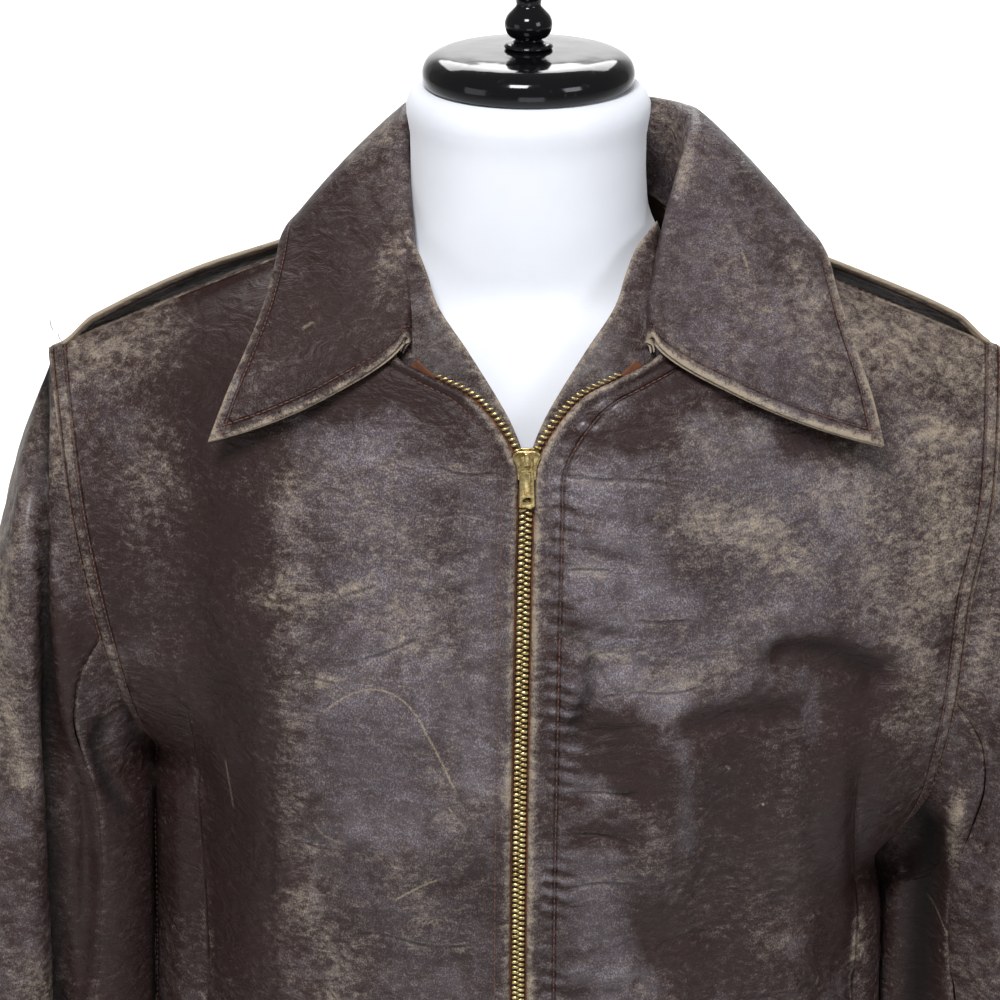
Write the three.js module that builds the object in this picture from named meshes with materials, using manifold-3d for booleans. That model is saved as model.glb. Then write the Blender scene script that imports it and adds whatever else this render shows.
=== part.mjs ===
// Worn leather coat on a limbless dress form.
// Sizes in mm. +Z is up, the coat faces -Y and +X is the wearer's left.
// The origin is the middle of the stand's foot, on the floor.
import * as THREE from 'three';
import Module from 'manifold-3d';

// ---- driving dimensions ----
const WALL = 1.8;            // leather of the body and the sleeves
const GAP = 0.3;             // between two pieces at a seam
const COLLAR_UPPER = 1.3;    // leather of the collar's upper layer
const COLLAR_UNDER = 1.2;    // leather of the collar's under layer
const FACING = 1.2;          // leather of the front facings
const TAPE = 0.9;            // woven zip tape
const STRAP = 2.6;           // shoulder strap, two layers stitched together
const HEM_Z = 770;           // hem of the coat
const CUFF_Z = 772;          // open end of the sleeves
const ZIP_HALF = 4.2;        // from the zip's middle to each front edge
const SLIDER_Z = 1360;       // height of the zip slider
const SHOULDER = [238.5, 2, 1381];   // outer end of each shoulder seam
const SHOULDER_BACK = [238.5, 3.4, 1381];   // and of the back's edge beside it
const NECK_SIDE = [77, 10, 1442];    // inner end of each shoulder seam
const COLLAR_HALF = 4.8;     // half the width of the rolled collar fold
const STAND_HEIGHT_MIN = 4;  // collar stand at its front ends
const NECK_R = 57.5;         // neck of the dress form
const NECK_X = 1.2;          // the form stands a little to the wearer's left
const NECK_TOP = 1514;
const CAP_R = 51.5;
const BASE_R = 180;
const BASE_H = 14;
const POLE_R = 14;

const LEATHER = '#3a2e2c';
const LEATHER_DARK = '#2a201f';
const BRASS = '#b08d4a';
const RUST = '#8a4526';
const WHITE = '#eef0f4';
const BLACK = '#0d0d0f';

const P = (x, y, z) => new THREE.Vector3(x, y, z);

// ---- curves and surfaces ----

// Smooth curve through points; t runs 0..1 with equal steps between the points.
function curve(points) {
  const line = new THREE.CatmullRomCurve3(points, false, 'centripetal');
  return (t) => line.getPoint(Math.min(1, Math.max(0, t)));
}

function bezier(a, b, c, d, t) {
  return new THREE.CubicBezierCurve3(a, b, c, d).getPoint(t);
}

// Row positions: knots[k] steps between key section k and k + 1, as 0..1.
function stations(steps) {
  const out = [0];
  steps.forEach((n, k) => {
    for (let i = 1; i <= n; i += 1) {
      out.push((k + i / n) / steps.length);
    }
  });
  return out;
}

// Grid of points from a surface function, first index across, second up.
function gridOf(surface, across, up) {
  return across.map((u) => up.map((v) => surface(u, v)));
}

function evenly(n, from = 0, to = 1) {
  return Array.from({ length: n + 1 }, (_, i) => from + ((to - from) * i) / n);
}

// Outward normals of a grid; side is 1 or -1 for grids running to +X or -X.
function normalsOf(grid, side) {
  const nu = grid.length;
  const nv = grid[0].length;
  return grid.map((column, i) => column.map((point, j) => {
    const a = grid[Math.max(0, i - 1)][j];
    const b = grid[Math.min(nu - 1, i + 1)][j];
    const c = grid[i][Math.max(0, j - 1)];
    const d = grid[i][Math.min(nv - 1, j + 1)];
    const normal = b.clone().sub(a).cross(d.clone().sub(c));
    return normal.multiplyScalar(side).normalize();
  }));
}

// A sheet of even thickness behind its outer-face grid, closed at its four rims.
function sheet(grid, normals, thickness, side) {
  const nu = grid.length;
  const nv = grid[0].length;
  const positions = [];
  const index = [];
  const put = (p) => positions.push(p.x, p.y, p.z);
  grid.forEach((column) => column.forEach(put));
  grid.forEach((column, i) => column.forEach((p, j) => {
    put(p.clone().addScaledVector(normals[i][j], -thickness));
  }));
  const top = (i, j) => i * nv + j;
  const low = (i, j) => nu * nv + i * nv + j;
  const quad = (a, b, c, d) => {
    if (side > 0) {
      index.push(a, b, c, a, c, d);
    } else {
      index.push(a, c, b, a, d, c);
    }
  };
  for (let i = 0; i < nu - 1; i += 1) {
    for (let j = 0; j < nv - 1; j += 1) {
      quad(top(i, j), top(i + 1, j), top(i + 1, j + 1), top(i, j + 1));
      quad(low(i, j), low(i, j + 1), low(i + 1, j + 1), low(i + 1, j));
    }
    quad(top(i + 1, 0), top(i, 0), low(i, 0), low(i + 1, 0));
    quad(top(i, nv - 1), top(i + 1, nv - 1), low(i + 1, nv - 1), low(i, nv - 1));
  }
  for (let j = 0; j < nv - 1; j += 1) {
    quad(top(0, j), top(0, j + 1), low(0, j + 1), low(0, j));
    quad(top(nu - 1, j + 1), top(nu - 1, j), low(nu - 1, j), low(nu - 1, j + 1));
  }
  const geometry = new THREE.BufferGeometry();
  geometry.setAttribute('position', new THREE.Float32BufferAttribute(positions, 3));
  geometry.setIndex(index);
  return geometry;
}

function mesh(name, geometry, colour, roughness, metalness) {
  const material = new THREE.MeshStandardMaterial({ color: colour, roughness, metalness });
  const item = new THREE.Mesh(geometry, material);
  item.name = name;
  return item;
}

const leather = (name, geometry) => mesh(name, geometry, LEATHER, 0.45, 0);

// ---- the coat's key lines, x measured outward from the middle ----

// The zip drifts a little to the wearer's right on its way down.
const ZIP_DRIFT = [-3, -3.2, -3.6, -3.6, -3, -2.2, -1.2, 0, 0, 0, 0, 0];

// Front edge: hem, zip line, open V, collar corner, neckline, shoulder seam.
const FRONT_EDGE = [
  [ZIP_HALF, -104, HEM_Z],
  [ZIP_HALF, -109, 900],
  [ZIP_HALF, -114, 1025],
  [ZIP_HALF, -119, 1130],
  [ZIP_HALF, -122, 1190],
  [ZIP_HALF, -122.5, 1250],
  [ZIP_HALF, -120.5, 1310],
  [ZIP_HALF + 0.8, -115.5, SLIDER_Z],
  [27, -106, 1390],
  [60, -94, 1405],
  [70, -45, 1429],
  NECK_SIDE,
];

// Pull of the cloth away from the front edge, as handles of each cross row.
const FRONT_HANDLE = [
  [72, -4, 0],
  [76, -3, 0],
  [82, -2, 0],
  [86, -3, -3],
  [86, -4, -5],
  [84, -6, -8],
  [78, -8, -12],
  [70, -8, -16],
  [62, -3, -20],
  [46, 4, -14],
  [44, 0, -10],
  [50, 0, -16],
];

// The same handles at the side seam and the armhole.
const SIDE_HANDLE = [
  [4, -66, 0],
  [2, -72, 0],
  [0, -78, 0],
  [-4, -70, 4],
  [-30, -44, 6],
  [-52, -32, 8],
  [-60, -30, 10],
  [-62, -28, 12],
  [-60, -26, 14],
  [-56, -18, 18],
  [-54, -8, 20],
  [-52, 0, 20],
];

// Side seam from the hem up, then the armhole's front half up to the shoulder.
const SIDE = {
  left: [[184, 6, HEM_Z], [181, 6, 880], [179, 6, 990]],
  right: [[194, 6, HEM_Z], [192, 6, 890], [191, 6, 1020]],
};
const ARMHOLE_FRONT = {
  left: [[184, 2, 1104], [206, -44, 1158], [216.5, -62, 1217], [221.5, -61, 1272],
    [231, -48, 1308], [234.5, -34, 1335], [236.5, -20, 1354], [238, -8, 1370], SHOULDER],
  right: [[191, 2, 1166], [203, -42, 1208], [212.5, -60, 1250], [220, -61, 1288],
    [226, -52, 1318], [230, -38, 1341], [233.5, -23, 1358], [236.5, -9, 1371], SHOULDER],
};
const ARMHOLE_BACK = {
  left: [[184, 2, 1104], [200, 44, 1150], [206, 64, 1205], [212, 68, 1262],
    [222, 58, 1312], [232, 34, 1353], SHOULDER_BACK],
  right: [[191, 2, 1166], [199, 42, 1196], [205, 62, 1236], [212, 67, 1278],
    [222, 56, 1320], [232, 33, 1356], SHOULDER_BACK],
};

// Back: half rows from the centre line out to the side, from the hem to the yoke.
const BACK_ROWS = [
  [[0, 104, HEM_Z], [75, 100, HEM_Z], [140, 78, HEM_Z]],
  [[0, 102, 885], [75, 98, 885], [140, 76, 885]],
  [[0, 104, 1005], [75, 101, 1003], [140, 80, 1000]],
  [[0, 110, 1135], [75, 109, 1130], [142, 92, 1125]],
  [[0, 114, 1190], [78, 114, 1184], [148, 100, 1178]],
  [[0, 117, 1250], [80, 117, 1244], [156, 105, 1236]],
  [[0, 115, 1310], [82, 114, 1304], [160, 102, 1294]],
  [[0, 106, 1368], [84, 102, 1360], [164, 88, 1346]],
  [[0, 92, 1418], [82, 78, 1406], [164, 56, 1384]],
];

const FRONT_STEPS = [3, 3, 3, 2, 2, 2, 2, 2, 2, 1, 1];
const BACK_STEPS = [3, 3, 3, 2, 2, 2, 2, 2, 2];

const mirror = (point, s) => P(point[0] * s, point[1], point[2]);
const sideOf = (s) => (s > 0 ? 'left' : 'right');

// ---- the largest folds of the fronts, as soft troughs and ridges ----
// Each runs from one point to another on the front; depth is inward, in mm.
const FOLDS = {
  left: [
    { from: [104, 1205], to: [96, 1000], half: 20, depth: 5 },
    { from: [128, 1238], to: [172, 1222], half: 20, depth: 5 },
    { from: [136, 1180], to: [150, 930], half: 20, depth: -4 },
    { from: [70, 1110], to: [60, 860], half: 20, depth: 5 },
  ],
  right: [
    { from: [122, 1290], to: [124, 960], half: 18, depth: -4 },
    { from: [152, 1230], to: [150, 900], half: 18, depth: 7 },
    { from: [60, 1010], to: [70, 820], half: 22, depth: 5 },
  ],
};

function foldDepth(side, x, z) {
  let depth = 0;
  FOLDS[side].forEach((fold) => {
    const dx = fold.to[0] - fold.from[0];
    const dz = fold.to[1] - fold.from[1];
    const along = ((x - fold.from[0]) * dx + (z - fold.from[1]) * dz) / (dx * dx + dz * dz);
    const t = Math.min(1, Math.max(0, along));
    const away = Math.hypot(x - fold.from[0] - dx * t, z - fold.from[1] - dz * t);
    depth += fold.depth * Math.exp(-((away / fold.half) ** 2));
  });
  return depth;
}

// ---- the fronts and the back ----

// Side seam and armhole as one line; t runs 0..1 with equal steps between key points.
function outerLine(side, armhole, s) {
  const seam = curve([...SIDE[side], armhole[0]].map((p) => mirror(p, s)));
  const hole = curve(armhole.map((p) => mirror(p, s)));
  const below = SIDE[side].length;
  const above = armhole.length - 1;
  return (t) => {
    const knot = t * (below + above);
    return knot <= below ? seam(knot / below) : hole((knot - below) / above);
  };
}

function frontSurface(s) {
  const side = sideOf(s);
  const edge = curve(FRONT_EDGE.map((p) => P(...p)));
  const drift = curve(ZIP_DRIFT.map((x) => P(x, 0, 0)));
  const start = curve(FRONT_HANDLE.map((p) => mirror(p, s)));
  const end = curve(SIDE_HANDLE.map((p) => mirror(p, s)));
  const outer = outerLine(side, ARMHOLE_FRONT[side], s);
  return (u, v) => {
    const a = edge(v);
    a.x = Math.max(a.x, ZIP_HALF) * s + drift(v).x;
    const d = outer(v);
    const b = a.clone().add(start(v));
    const c = d.clone().add(end(v));
    const point = bezier(a, b, c, d, u);
    const calm = Math.sin(Math.PI * u);
    point.y += foldDepth(side, point.x * s, point.z) * calm;
    return point;
  };
}

// Shoulder seam from the neck's side out to the shoulder point.
function shoulderSeam(s, t) {
  const inner = mirror(NECK_SIDE, s);
  const outer = mirror(SHOULDER, s);
  const b = inner.clone().add(P(50 * s, 0, -16));
  const c = outer.clone().add(P(-52 * s, 0, 20));
  return bezier(inner, b, c, outer, t);
}

// Top of the back: neckline in the middle third, a shoulder seam on each side.
function backTop(u) {
  const away = Math.abs(u - 0.5) * 2;
  const s = u < 0.5 ? -1 : 1;
  if (away > 1 / 3) {
    return shoulderSeam(s, (away - 1 / 3) * 1.5).add(P(0, 1.2, 0));
  }
  const turn = away * 3 * Math.PI / 2;
  const [x, y, z] = NECK_SIDE;
  return P(s * x * Math.sin(turn), y + 1.2 + 64 * Math.cos(turn), z + 13 * Math.cos(turn));
}

function backSurface() {
  const left = outerLine('left', ARMHOLE_BACK.left, 1);
  const right = outerLine('right', ARMHOLE_BACK.right, -1);
  const rows = BACK_ROWS.map((keys, k) => {
    const t = k / BACK_ROWS.length;
    const half = (s) => keys.map((p) => mirror(p, s));
    return curve([right(t), ...half(-1).reverse(), ...half(1).slice(1), left(t)]);
  });
  rows.push(backTop);
  return (u, v) => {
    const end = u < 0.5 ? 0 : 1;
    const point = curve(rows.map((line) => line(u)))(v);
    const drawn = curve(rows.map((line) => line(end)))(v);
    const shift = (end ? left : right)(v).sub(drawn);
    return point.addScaledVector(shift, Math.abs(2 * u - 1) ** 6);
  };
}

// ---- the sleeves ----

// Sleeve rings below the armhole: [height, inner edge, outer edge, half depth, middle y].
const SLEEVE_RINGS = [
  [1020, 203, 322, 63, 2],
  [920, 212, 337, 61, 0],
  [845, 224, 340, 55, -4],
  [CUFF_Z, 238, 336, 49, -10],
];
const SLEEVE_TOP_RING = {
  left: [1078, 198, 312, 64, 2],
  right: [1132, 197, 300, 66, 2],
};
const SLEEVE_FOLD = {
  left: { at: 2.25, half: 0.3, depth: 13 },
  right: { at: 1.95, half: 0.26, depth: 20 },
};
const SLEEVE_PROUD = 0.75;   // the sleeve head stands this much above the body panels
const HEAD_STEPS = 5;
const ARM_STEPS = [1, 1, 1, 1];

function sleeveRingPoint(ring, fold, angle, s) {
  const [z, inner, outer, depth, y] = ring;
  const away = (angle - fold.at) / fold.half;
  const squeeze = fold.depth * Math.exp(-(away * away));
  const across = (outer - inner) / 2;
  const x = (outer + inner) / 2 + across * Math.cos(angle);
  const front = Math.sin(angle) * depth - squeeze;
  return P(x * s, y - front, z);
}

// Grid round the whole sleeve: index 0 is the shoulder, then front, underarm, back.
function sleeveGrid(s, loop, frontCount) {
  const side = sideOf(s);
  const count = loop.length;
  const rings = [SLEEVE_TOP_RING[side], ...SLEEVE_RINGS];
  return loop.map((start, i) => {
    const back = (i - frontCount) / (count - frontCount);
    const angle = Math.PI * (i <= frontCount ? i / frontCount : 1 + back);
    const keys = rings.map((ring) => sleeveRingPoint(ring, SLEEVE_FOLD[side], angle, s));
    const sine = Math.sin(angle);
    const armpit = Math.max(0, -Math.cos(angle)) * 0.3;
    const lean = P((0.22 + 0.5 * Math.abs(sine) + armpit) * s, -0.34 * sine, -0.86).normalize();
    const reach = start.distanceTo(keys[0]);
    const b = start.clone().addScaledVector(lean, reach * 0.36);
    const rise = keys[0].clone().sub(keys[1]).normalize();
    const c = keys[0].clone().addScaledVector(rise, reach * 0.34);
    const arm = curve(keys);
    const head = evenly(HEAD_STEPS).map((t) => bezier(start, b, c, keys[0], t));
    return head.concat(stations(ARM_STEPS).slice(1).map(arm));
  });
}

// ---- the collar: [neckline, fold, leaf edge] from each front corner to the back ----

const COLLAR = {
  right: [
    [[59.5, -93.5, 1406.4], [57.5, -91.5, 1415], [152, -90, 1362]],
    [[66, -70, 1419.5], [56, -70, 1428.5], [142.5, -82.5, 1385.5]],
    [[71, -45, 1431], [57, -42, 1449], [131, -58, 1408]],
    [[75, -18, 1438.5], [60.5, -13, 1472], [124, -32, 1425]],
    [[77, 11, 1443.5], [61, 14, 1494], [119, 4, 1440.8]],
    [[56, 50, 1451], [50, 46, 1499], [98, 58, 1437]],
  ],
  left: [
    [[59.5, -93.5, 1406.4], [59.5, -91.5, 1415], [171.5, -84, 1358]],
    [[66, -70, 1419.5], [60, -71, 1428.5], [167, -70, 1377]],
    [[71, -45, 1431], [66, -46, 1446], [160, -50, 1396]],
    [[75, -18, 1438.5], [75.5, -14, 1469], [154, -28, 1412]],
    [[77, 11, 1443.5], [84.5, 16, 1492], [147, 4, 1432]],
    [[56, 50, 1451], [76, 52, 1493], [122, 60, 1434]],
  ],
  back: [[0, 74, 1456.5], [3, 70, 1496], [0, 102, 1430]],
};
const COLLAR_ACROSS = evenly(22);
const COLLAR_UP = [0, 0.16, 0.3, 0.42, 0.5, 0.58, 0.68, 0.79, 0.9, 1];
const LEAF_BULGE = 2.5;      // roundness of the leaf over the shoulder
const LEAF_SAG = 8;          // and how far its front edges hang below a straight line

function collarSurface() {
  const keys = [...COLLAR.right.map((row) => row.map((p) => mirror(p, -1)))];
  keys.push(COLLAR.back.map((p) => mirror(p, 1)));
  keys.push(...COLLAR.left.map((row) => row.map((p) => mirror(p, 1))).reverse());
  const [neckline, fold, leafEdge] = [0, 1, 2].map((k) => curve(keys.map((row) => row[k])));
  const thick = COLLAR_UPPER + COLLAR_UNDER + GAP;
  return (u, t) => {
    const top = fold(u);
    const rim = leafEdge(u);
    const out = P(top.x - NECK_X, top.y, 0).normalize();
    const base = neckline(u).addScaledVector(out, -thick);
    const inside = top.clone().addScaledVector(out, -COLLAR_HALF).add(P(0, 0, -3));
    const outside = top.clone().addScaledVector(out, COLLAR_HALF).add(P(0, 0, -3));
    const middle = outside.clone().lerp(rim, 0.5).addScaledVector(out, LEAF_BULGE * 0.6);
    const front = Math.abs(2 * u - 1) ** 8;
    middle.z += LEAF_BULGE * 0.8 - LEAF_SAG * front;
    middle.y -= 4 * front;
    const rise = base.clone().lerp(inside, 0.5);
    return curve([base, rise, inside, top, outside, middle, rim])(t);
  };
}

// A second layer of the same grid, moved behind the first.
function layerBehind(grid, normals, distance) {
  return grid.map((column, i) => column.map((p, j) => (
    p.clone().addScaledVector(normals[i][j], -distance)
  )));
}

// ---- pieces laid along the front edge ----

// Frame along a front edge: point, outward normal, and the way towards the opening.
function edgeFrame(surface, s, v) {
  const point = surface(0, v);
  const across = surface(0.02, v).sub(point).normalize();
  const along = surface(0, Math.min(1, v + 0.004)).sub(surface(0, v - 0.004)).normalize();
  const normal = across.clone().cross(along).multiplyScalar(s).normalize();
  const open = along.clone().cross(normal).multiplyScalar(-s).normalize();
  return { point, normal, open };
}

// A strip along the front edge. Each place is [share across the front, way out, raise].
function edgeStrip(surface, s, places, thickness, last) {
  const rows = stations(FRONT_STEPS).filter((v) => v <= last).map((v) => Math.max(v, 0.005));
  const frames = rows.map((v) => edgeFrame(surface, s, v));
  const grid = places.map(([u, towards, raise]) => frames.map((f, j) => (
    surface(u, rows[j]).addScaledVector(f.open, towards).addScaledVector(f.normal, raise)
  )));
  return sheet(grid, normalsOf(grid, s), thickness, s);
}

// The facing's free edge inside the opening, level with the front edge's key points.
const FACING_EDGE = [
  [1.2, -98, HEM_Z + 4], [1.2, -103, 900], [1.2, -108, 1025], [1.2, -113, 1130],
  [1.2, -116, 1190], [1.2, -116.5, 1250], [1.2, -114.5, 1310], [1.2, -109.2, SLIDER_Z],
  [14, -101, 1388], [43, -74, 1426],
];

// Its top end turns up inside the collar, in two rows: hidden edge, turn, free edge.
const FACING_TOP = [
  [[58, -83, 1403.5], [53, -81, 1414.5], [43, -74, 1427]],
  [[51.5, -76, 1423], [49.5, -69, 1431], [48, -62, 1438]],
];

function facingGrid(surface, s) {
  const line = curve(FACING_EDGE.map((p) => P(...p)));
  const drift = curve(ZIP_DRIFT.slice(0, FACING_EDGE.length).map((x) => P(x, 0, 0)));
  const free = (t) => {
    const point = line(t);
    point.x = Math.max(point.x, 1.2) * s + drift(t).x;
    return point;
  };
  const knots = FRONT_EDGE.length - 1;
  const last = FACING_EDGE.length - 1;
  const rows = stations(FRONT_STEPS).filter((v) => v < (last - 0.1) / knots);
  const lines = rows.map((v) => {
    const edge = edgeFrame(surface, s, Math.max(v, 0.004));
    const under = surface(0.13, Math.max(v, 0.004));
    const rise = Math.max(0, v * knots - 8);
    const hidden = under.addScaledVector(edge.normal, -4.6);
    const turn = edge.point.clone().addScaledVector(edge.normal, -5.4);
    turn.add(P(-5 * s * rise, 5 * rise, 7 * rise));
    return [hidden, turn, free((v * knots) / last)];
  });
  lines.push(...FACING_TOP.map((line) => line.map((p) => mirror(p, s))));
  return [2, 1, 0].map((k) => lines.map((line) => line[k]));
}

// ---- shoulder strap, lying behind the shoulder line ----

const STRAP_ACROSS = evenly(9, 0.42, 0.975);
const STRAP_DEPTH = evenly(3);
const STRAP_SPAN = 0.088;    // how far down the back the strap reaches, as a share of it
const STRAP_LIFT = 4;        // its front edge stands up off the shoulder

function strapGrid(surface, s) {
  return STRAP_ACROSS.map((a) => {
    const lift = STRAP_LIFT * Math.sin(Math.PI * (a - 0.36) / 0.64);
    return STRAP_DEPTH.map((w) => {
      const point = surface(0.5 + 0.5 * a * s, 1 - STRAP_SPAN * (1 - w));
      point.y -= 2.5 * w;
      point.z += STRAP + 1.4 + lift * w * w;
      return point;
    });
  });
}

// ---- the zip's slider and pull tab, in their own frame on the zip's middle line ----

const SLIDER_Y = -114.6;     // middle of the teeth at the slider
const SLIDER_TILT = 5.7;     // degrees, with the slope of the chest
const PLATE_FRONT = 1.45;    // from the teeth's middle to the front plate
const PLATE_BACK = 2.9;      // and to the back plate, behind the tape
const PLATE = 1.2;
const PIVOT = [0, -3.55, 3]; // axis of the pull tab
const PULL_LENGTH = 24;
const PULL = 1.2;

function sliderOutline() {
  const shape = new THREE.Shape();
  shape.moveTo(-4.2, -7.5);
  shape.lineTo(4.2, -7.5);
  shape.bezierCurveTo(4.6, -3, 6.2, -1, 6.3, 3.5);
  shape.bezierCurveTo(6.2, 5.6, 4.6, 6.4, 2.4, 6.5);
  shape.lineTo(-2.4, 6.5);
  shape.bezierCurveTo(-4.6, 6.4, -6.2, 5.6, -6.3, 3.5);
  shape.bezierCurveTo(-6.2, -1, -4.6, -3, -4.2, -7.5);
  return shape;
}

function pullOutline() {
  const shape = new THREE.Shape();
  shape.moveTo(-3.2, 0.6);
  shape.lineTo(3.2, 0.6);
  shape.lineTo(3.8, -PULL_LENGTH + 4);
  shape.quadraticCurveTo(3.8, -PULL_LENGTH + 0.6, 0, -PULL_LENGTH + 0.6);
  shape.quadraticCurveTo(-3.8, -PULL_LENGTH + 0.6, -3.8, -PULL_LENGTH + 4);
  return shape;
}

function onChest(geometry) {
  geometry.rotateX(THREE.MathUtils.degToRad(-SLIDER_TILT));
  geometry.translate(ZIP_DRIFT[7], SLIDER_Y, SLIDER_Z);
  return geometry;
}

function joined(wasm, solids) {
  const whole = wasm.Manifold.union(solids);
  const made = whole.getMesh();
  const geometry = new THREE.BufferGeometry();
  geometry.setAttribute('position', new THREE.Float32BufferAttribute(made.vertProperties, 3));
  geometry.setIndex(Array.from(made.triVerts));
  return geometry;
}

function solidPlate(wasm, shape, thickness, y) {
  const outline = shape.getPoints(6).map((p) => [p.x, p.y]);
  const flat = new wasm.CrossSection([outline], 'NonZero');
  return flat.extrude(thickness).rotate([90, 0, 0]).translate([0, y, 0]);
}

function block(wasm, size, middle) {
  return wasm.Manifold.cube(size, true).translate(middle);
}

function sliderGeometry(wasm) {
  const [, py, pz] = PIVOT;
  const front = solidPlate(wasm, sliderOutline(), PLATE, -PLATE_FRONT);
  const back = solidPlate(wasm, sliderOutline(), PLATE, PLATE_BACK + PLATE);
  const post = block(wasm, [2, PLATE_FRONT + PLATE_BACK + PLATE, 2.6], [0, 0.5, 5.2]);
  const legDepth = 3.6;
  const legY = -PLATE_FRONT - PLATE / 2 - legDepth / 2;
  const upper = block(wasm, [2.2, legDepth, 1.1], [0, legY, pz + 2.45]);
  const lower = block(wasm, [2.2, legDepth, 1.1], [0, legY, pz - 2.45]);
  const bridge = block(wasm, [2.2, 1.1, 6], [0, py - 1.65, pz]);
  return onChest(joined(wasm, [front, back, post, upper, lower, bridge]));
}

function pullGeometry(wasm) {
  const plate = solidPlate(wasm, pullOutline(), PULL, PULL / 2);
  const eye = block(wasm, [3, PULL * 2, 3.5], [0, 0, -2.35]);
  const hole = wasm.Manifold.cylinder(PULL * 2, 1.4, 1.4, 16, true);
  const slot = hole.rotate([90, 0, 0]).translate([0, 0, -PULL_LENGTH + 4.6]);
  const tab = plate.subtract(eye).subtract(slot).translate(PIVOT);
  return onChest(joined(wasm, [tab]));
}

// ---- the dress form and its stand ----

// Form rings: [height, half width, half depth, middle y].
const FORM_RINGS = [
  [795, 146, 90, 0], [830, 148, 91, 0], [910, 141, 88, 0], [1000, 137, 87, 0],
  [1080, 143, 91, -2], [1160, 153, 96, -4], [1240, 160, 100, -6], [1300, 163, 98, -6],
  [1345, 164, 92, -5], [1372, 160, 85, -4], [1392, 146, 76, -3], [1408, 122, 66, -2],
  [1418, 100, 60, 2], [1427, 82, 57.8, 2], [1436, 69, 57.5, 1], [1450, 60.5, 57.5, 0],
  [1468, 57.8, 57.5, 0], [1488, NECK_R, NECK_R, 0], [1511, NECK_R, NECK_R, 0],
  [NECK_TOP, NECK_R - 3, NECK_R - 3, 0],
];
const FORM_SIDES = 48;

function formGeometry() {
  const positions = [];
  const index = [];
  FORM_RINGS.forEach(([z, a, b, y]) => {
    const shift = NECK_X * Math.min(1, Math.max(0, (z - 1380) / 80));
    for (let i = 0; i < FORM_SIDES; i += 1) {
      const angle = (i / FORM_SIDES) * Math.PI * 2;
      positions.push(shift + a * Math.cos(angle), y + b * Math.sin(angle), z);
    }
  });
  const last = (FORM_RINGS.length - 1) * FORM_SIDES;
  const low = positions.length / 3;
  positions.push(0, 0, FORM_RINGS[0][0], NECK_X, 0, NECK_TOP);
  for (let i = 0; i < FORM_SIDES; i += 1) {
    const n = (i + 1) % FORM_SIDES;
    for (let k = 0; k < last; k += FORM_SIDES) {
      index.push(k + i, k + n, k + FORM_SIDES + n, k + i, k + FORM_SIDES + n, k + FORM_SIDES + i);
    }
    index.push(low, n, i, low + 1, last + i, last + n);
  }
  const geometry = new THREE.BufferGeometry();
  geometry.setAttribute('position', new THREE.Float32BufferAttribute(positions, 3));
  geometry.setIndex(index);
  return geometry;
}

// Solid of revolution from [radius, height] pairs, bottom to top.
function turned(profile, sides) {
  const points = profile.map(([r, z]) => new THREE.Vector2(r, z));
  const geometry = new THREE.LatheGeometry(points, sides);
  return geometry.rotateX(Math.PI / 2);
}

function capGeometry() {
  const z = NECK_TOP + GAP;
  const profile = [[0, z], [CAP_R - 3, z], [CAP_R, z + 3], [CAP_R, z + 8], [CAP_R - 2, z + 12],
    [CAP_R - 7, z + 15.5], [CAP_R - 16, z + 17], [0, z + 18]];
  return turned(profile, 48).translate(NECK_X, 0, 0);
}

function finialGeometry() {
  const z = NECK_TOP + GAP + 18 + GAP;
  const profile = [[0, z], [11.5, z], [11.8, z + 1.6], [8, z + 3], [6.6, z + 4.2], [9.6, z + 6],
    [11.4, z + 9.5], [11.6, z + 12], [10.6, z + 15.5], [7.6, z + 19], [6, z + 21],
    [6.2, z + 23], [8.4, z + 30], [8.2, z + 33], [6, z + 35.5], [0, z + 36.5]];
  return turned(profile, 32).translate(NECK_X, 0, 0);
}

function poleGeometry() {
  const z = BASE_H + GAP;
  const top = FORM_RINGS[0][0] - GAP;
  const profile = [[0, z], [34, z], [34, z + 6], [20, z + 14], [POLE_R, z + 26],
    [POLE_R, top - 10], [POLE_R + 22, top - 8], [POLE_R + 22, top], [0, top]];
  return turned(profile, 40);
}

function baseGeometry() {
  const profile = [[0, 0], [BASE_R - 2, 0], [BASE_R, 2], [BASE_R, 7], [BASE_R - 6, 11],
    [BASE_R - 30, BASE_H], [0, BASE_H]];
  return turned(profile, 64);
}

// ---- assembly ----

// Two pieces meet along a seam: both take the mean of their normals there.
function shareSeam(pairs) {
  pairs.forEach((group) => {
    const mean = P(0, 0, 0);
    group.forEach(([normals, i, j]) => mean.add(normals[i][j]));
    mean.normalize();
    group.forEach(([normals, i, j]) => normals[i][j].copy(mean));
  });
}

// Draw one rim of a grid back towards the piece's inside by a distance.
function drawBack(line, next, distance) {
  line.forEach((p, k) => p.lerp(next[k], distance / p.distanceTo(next[k])));
}

const column = (grid, i) => grid[i];
const row = (grid, j) => grid.map((line) => line[j]);

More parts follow.
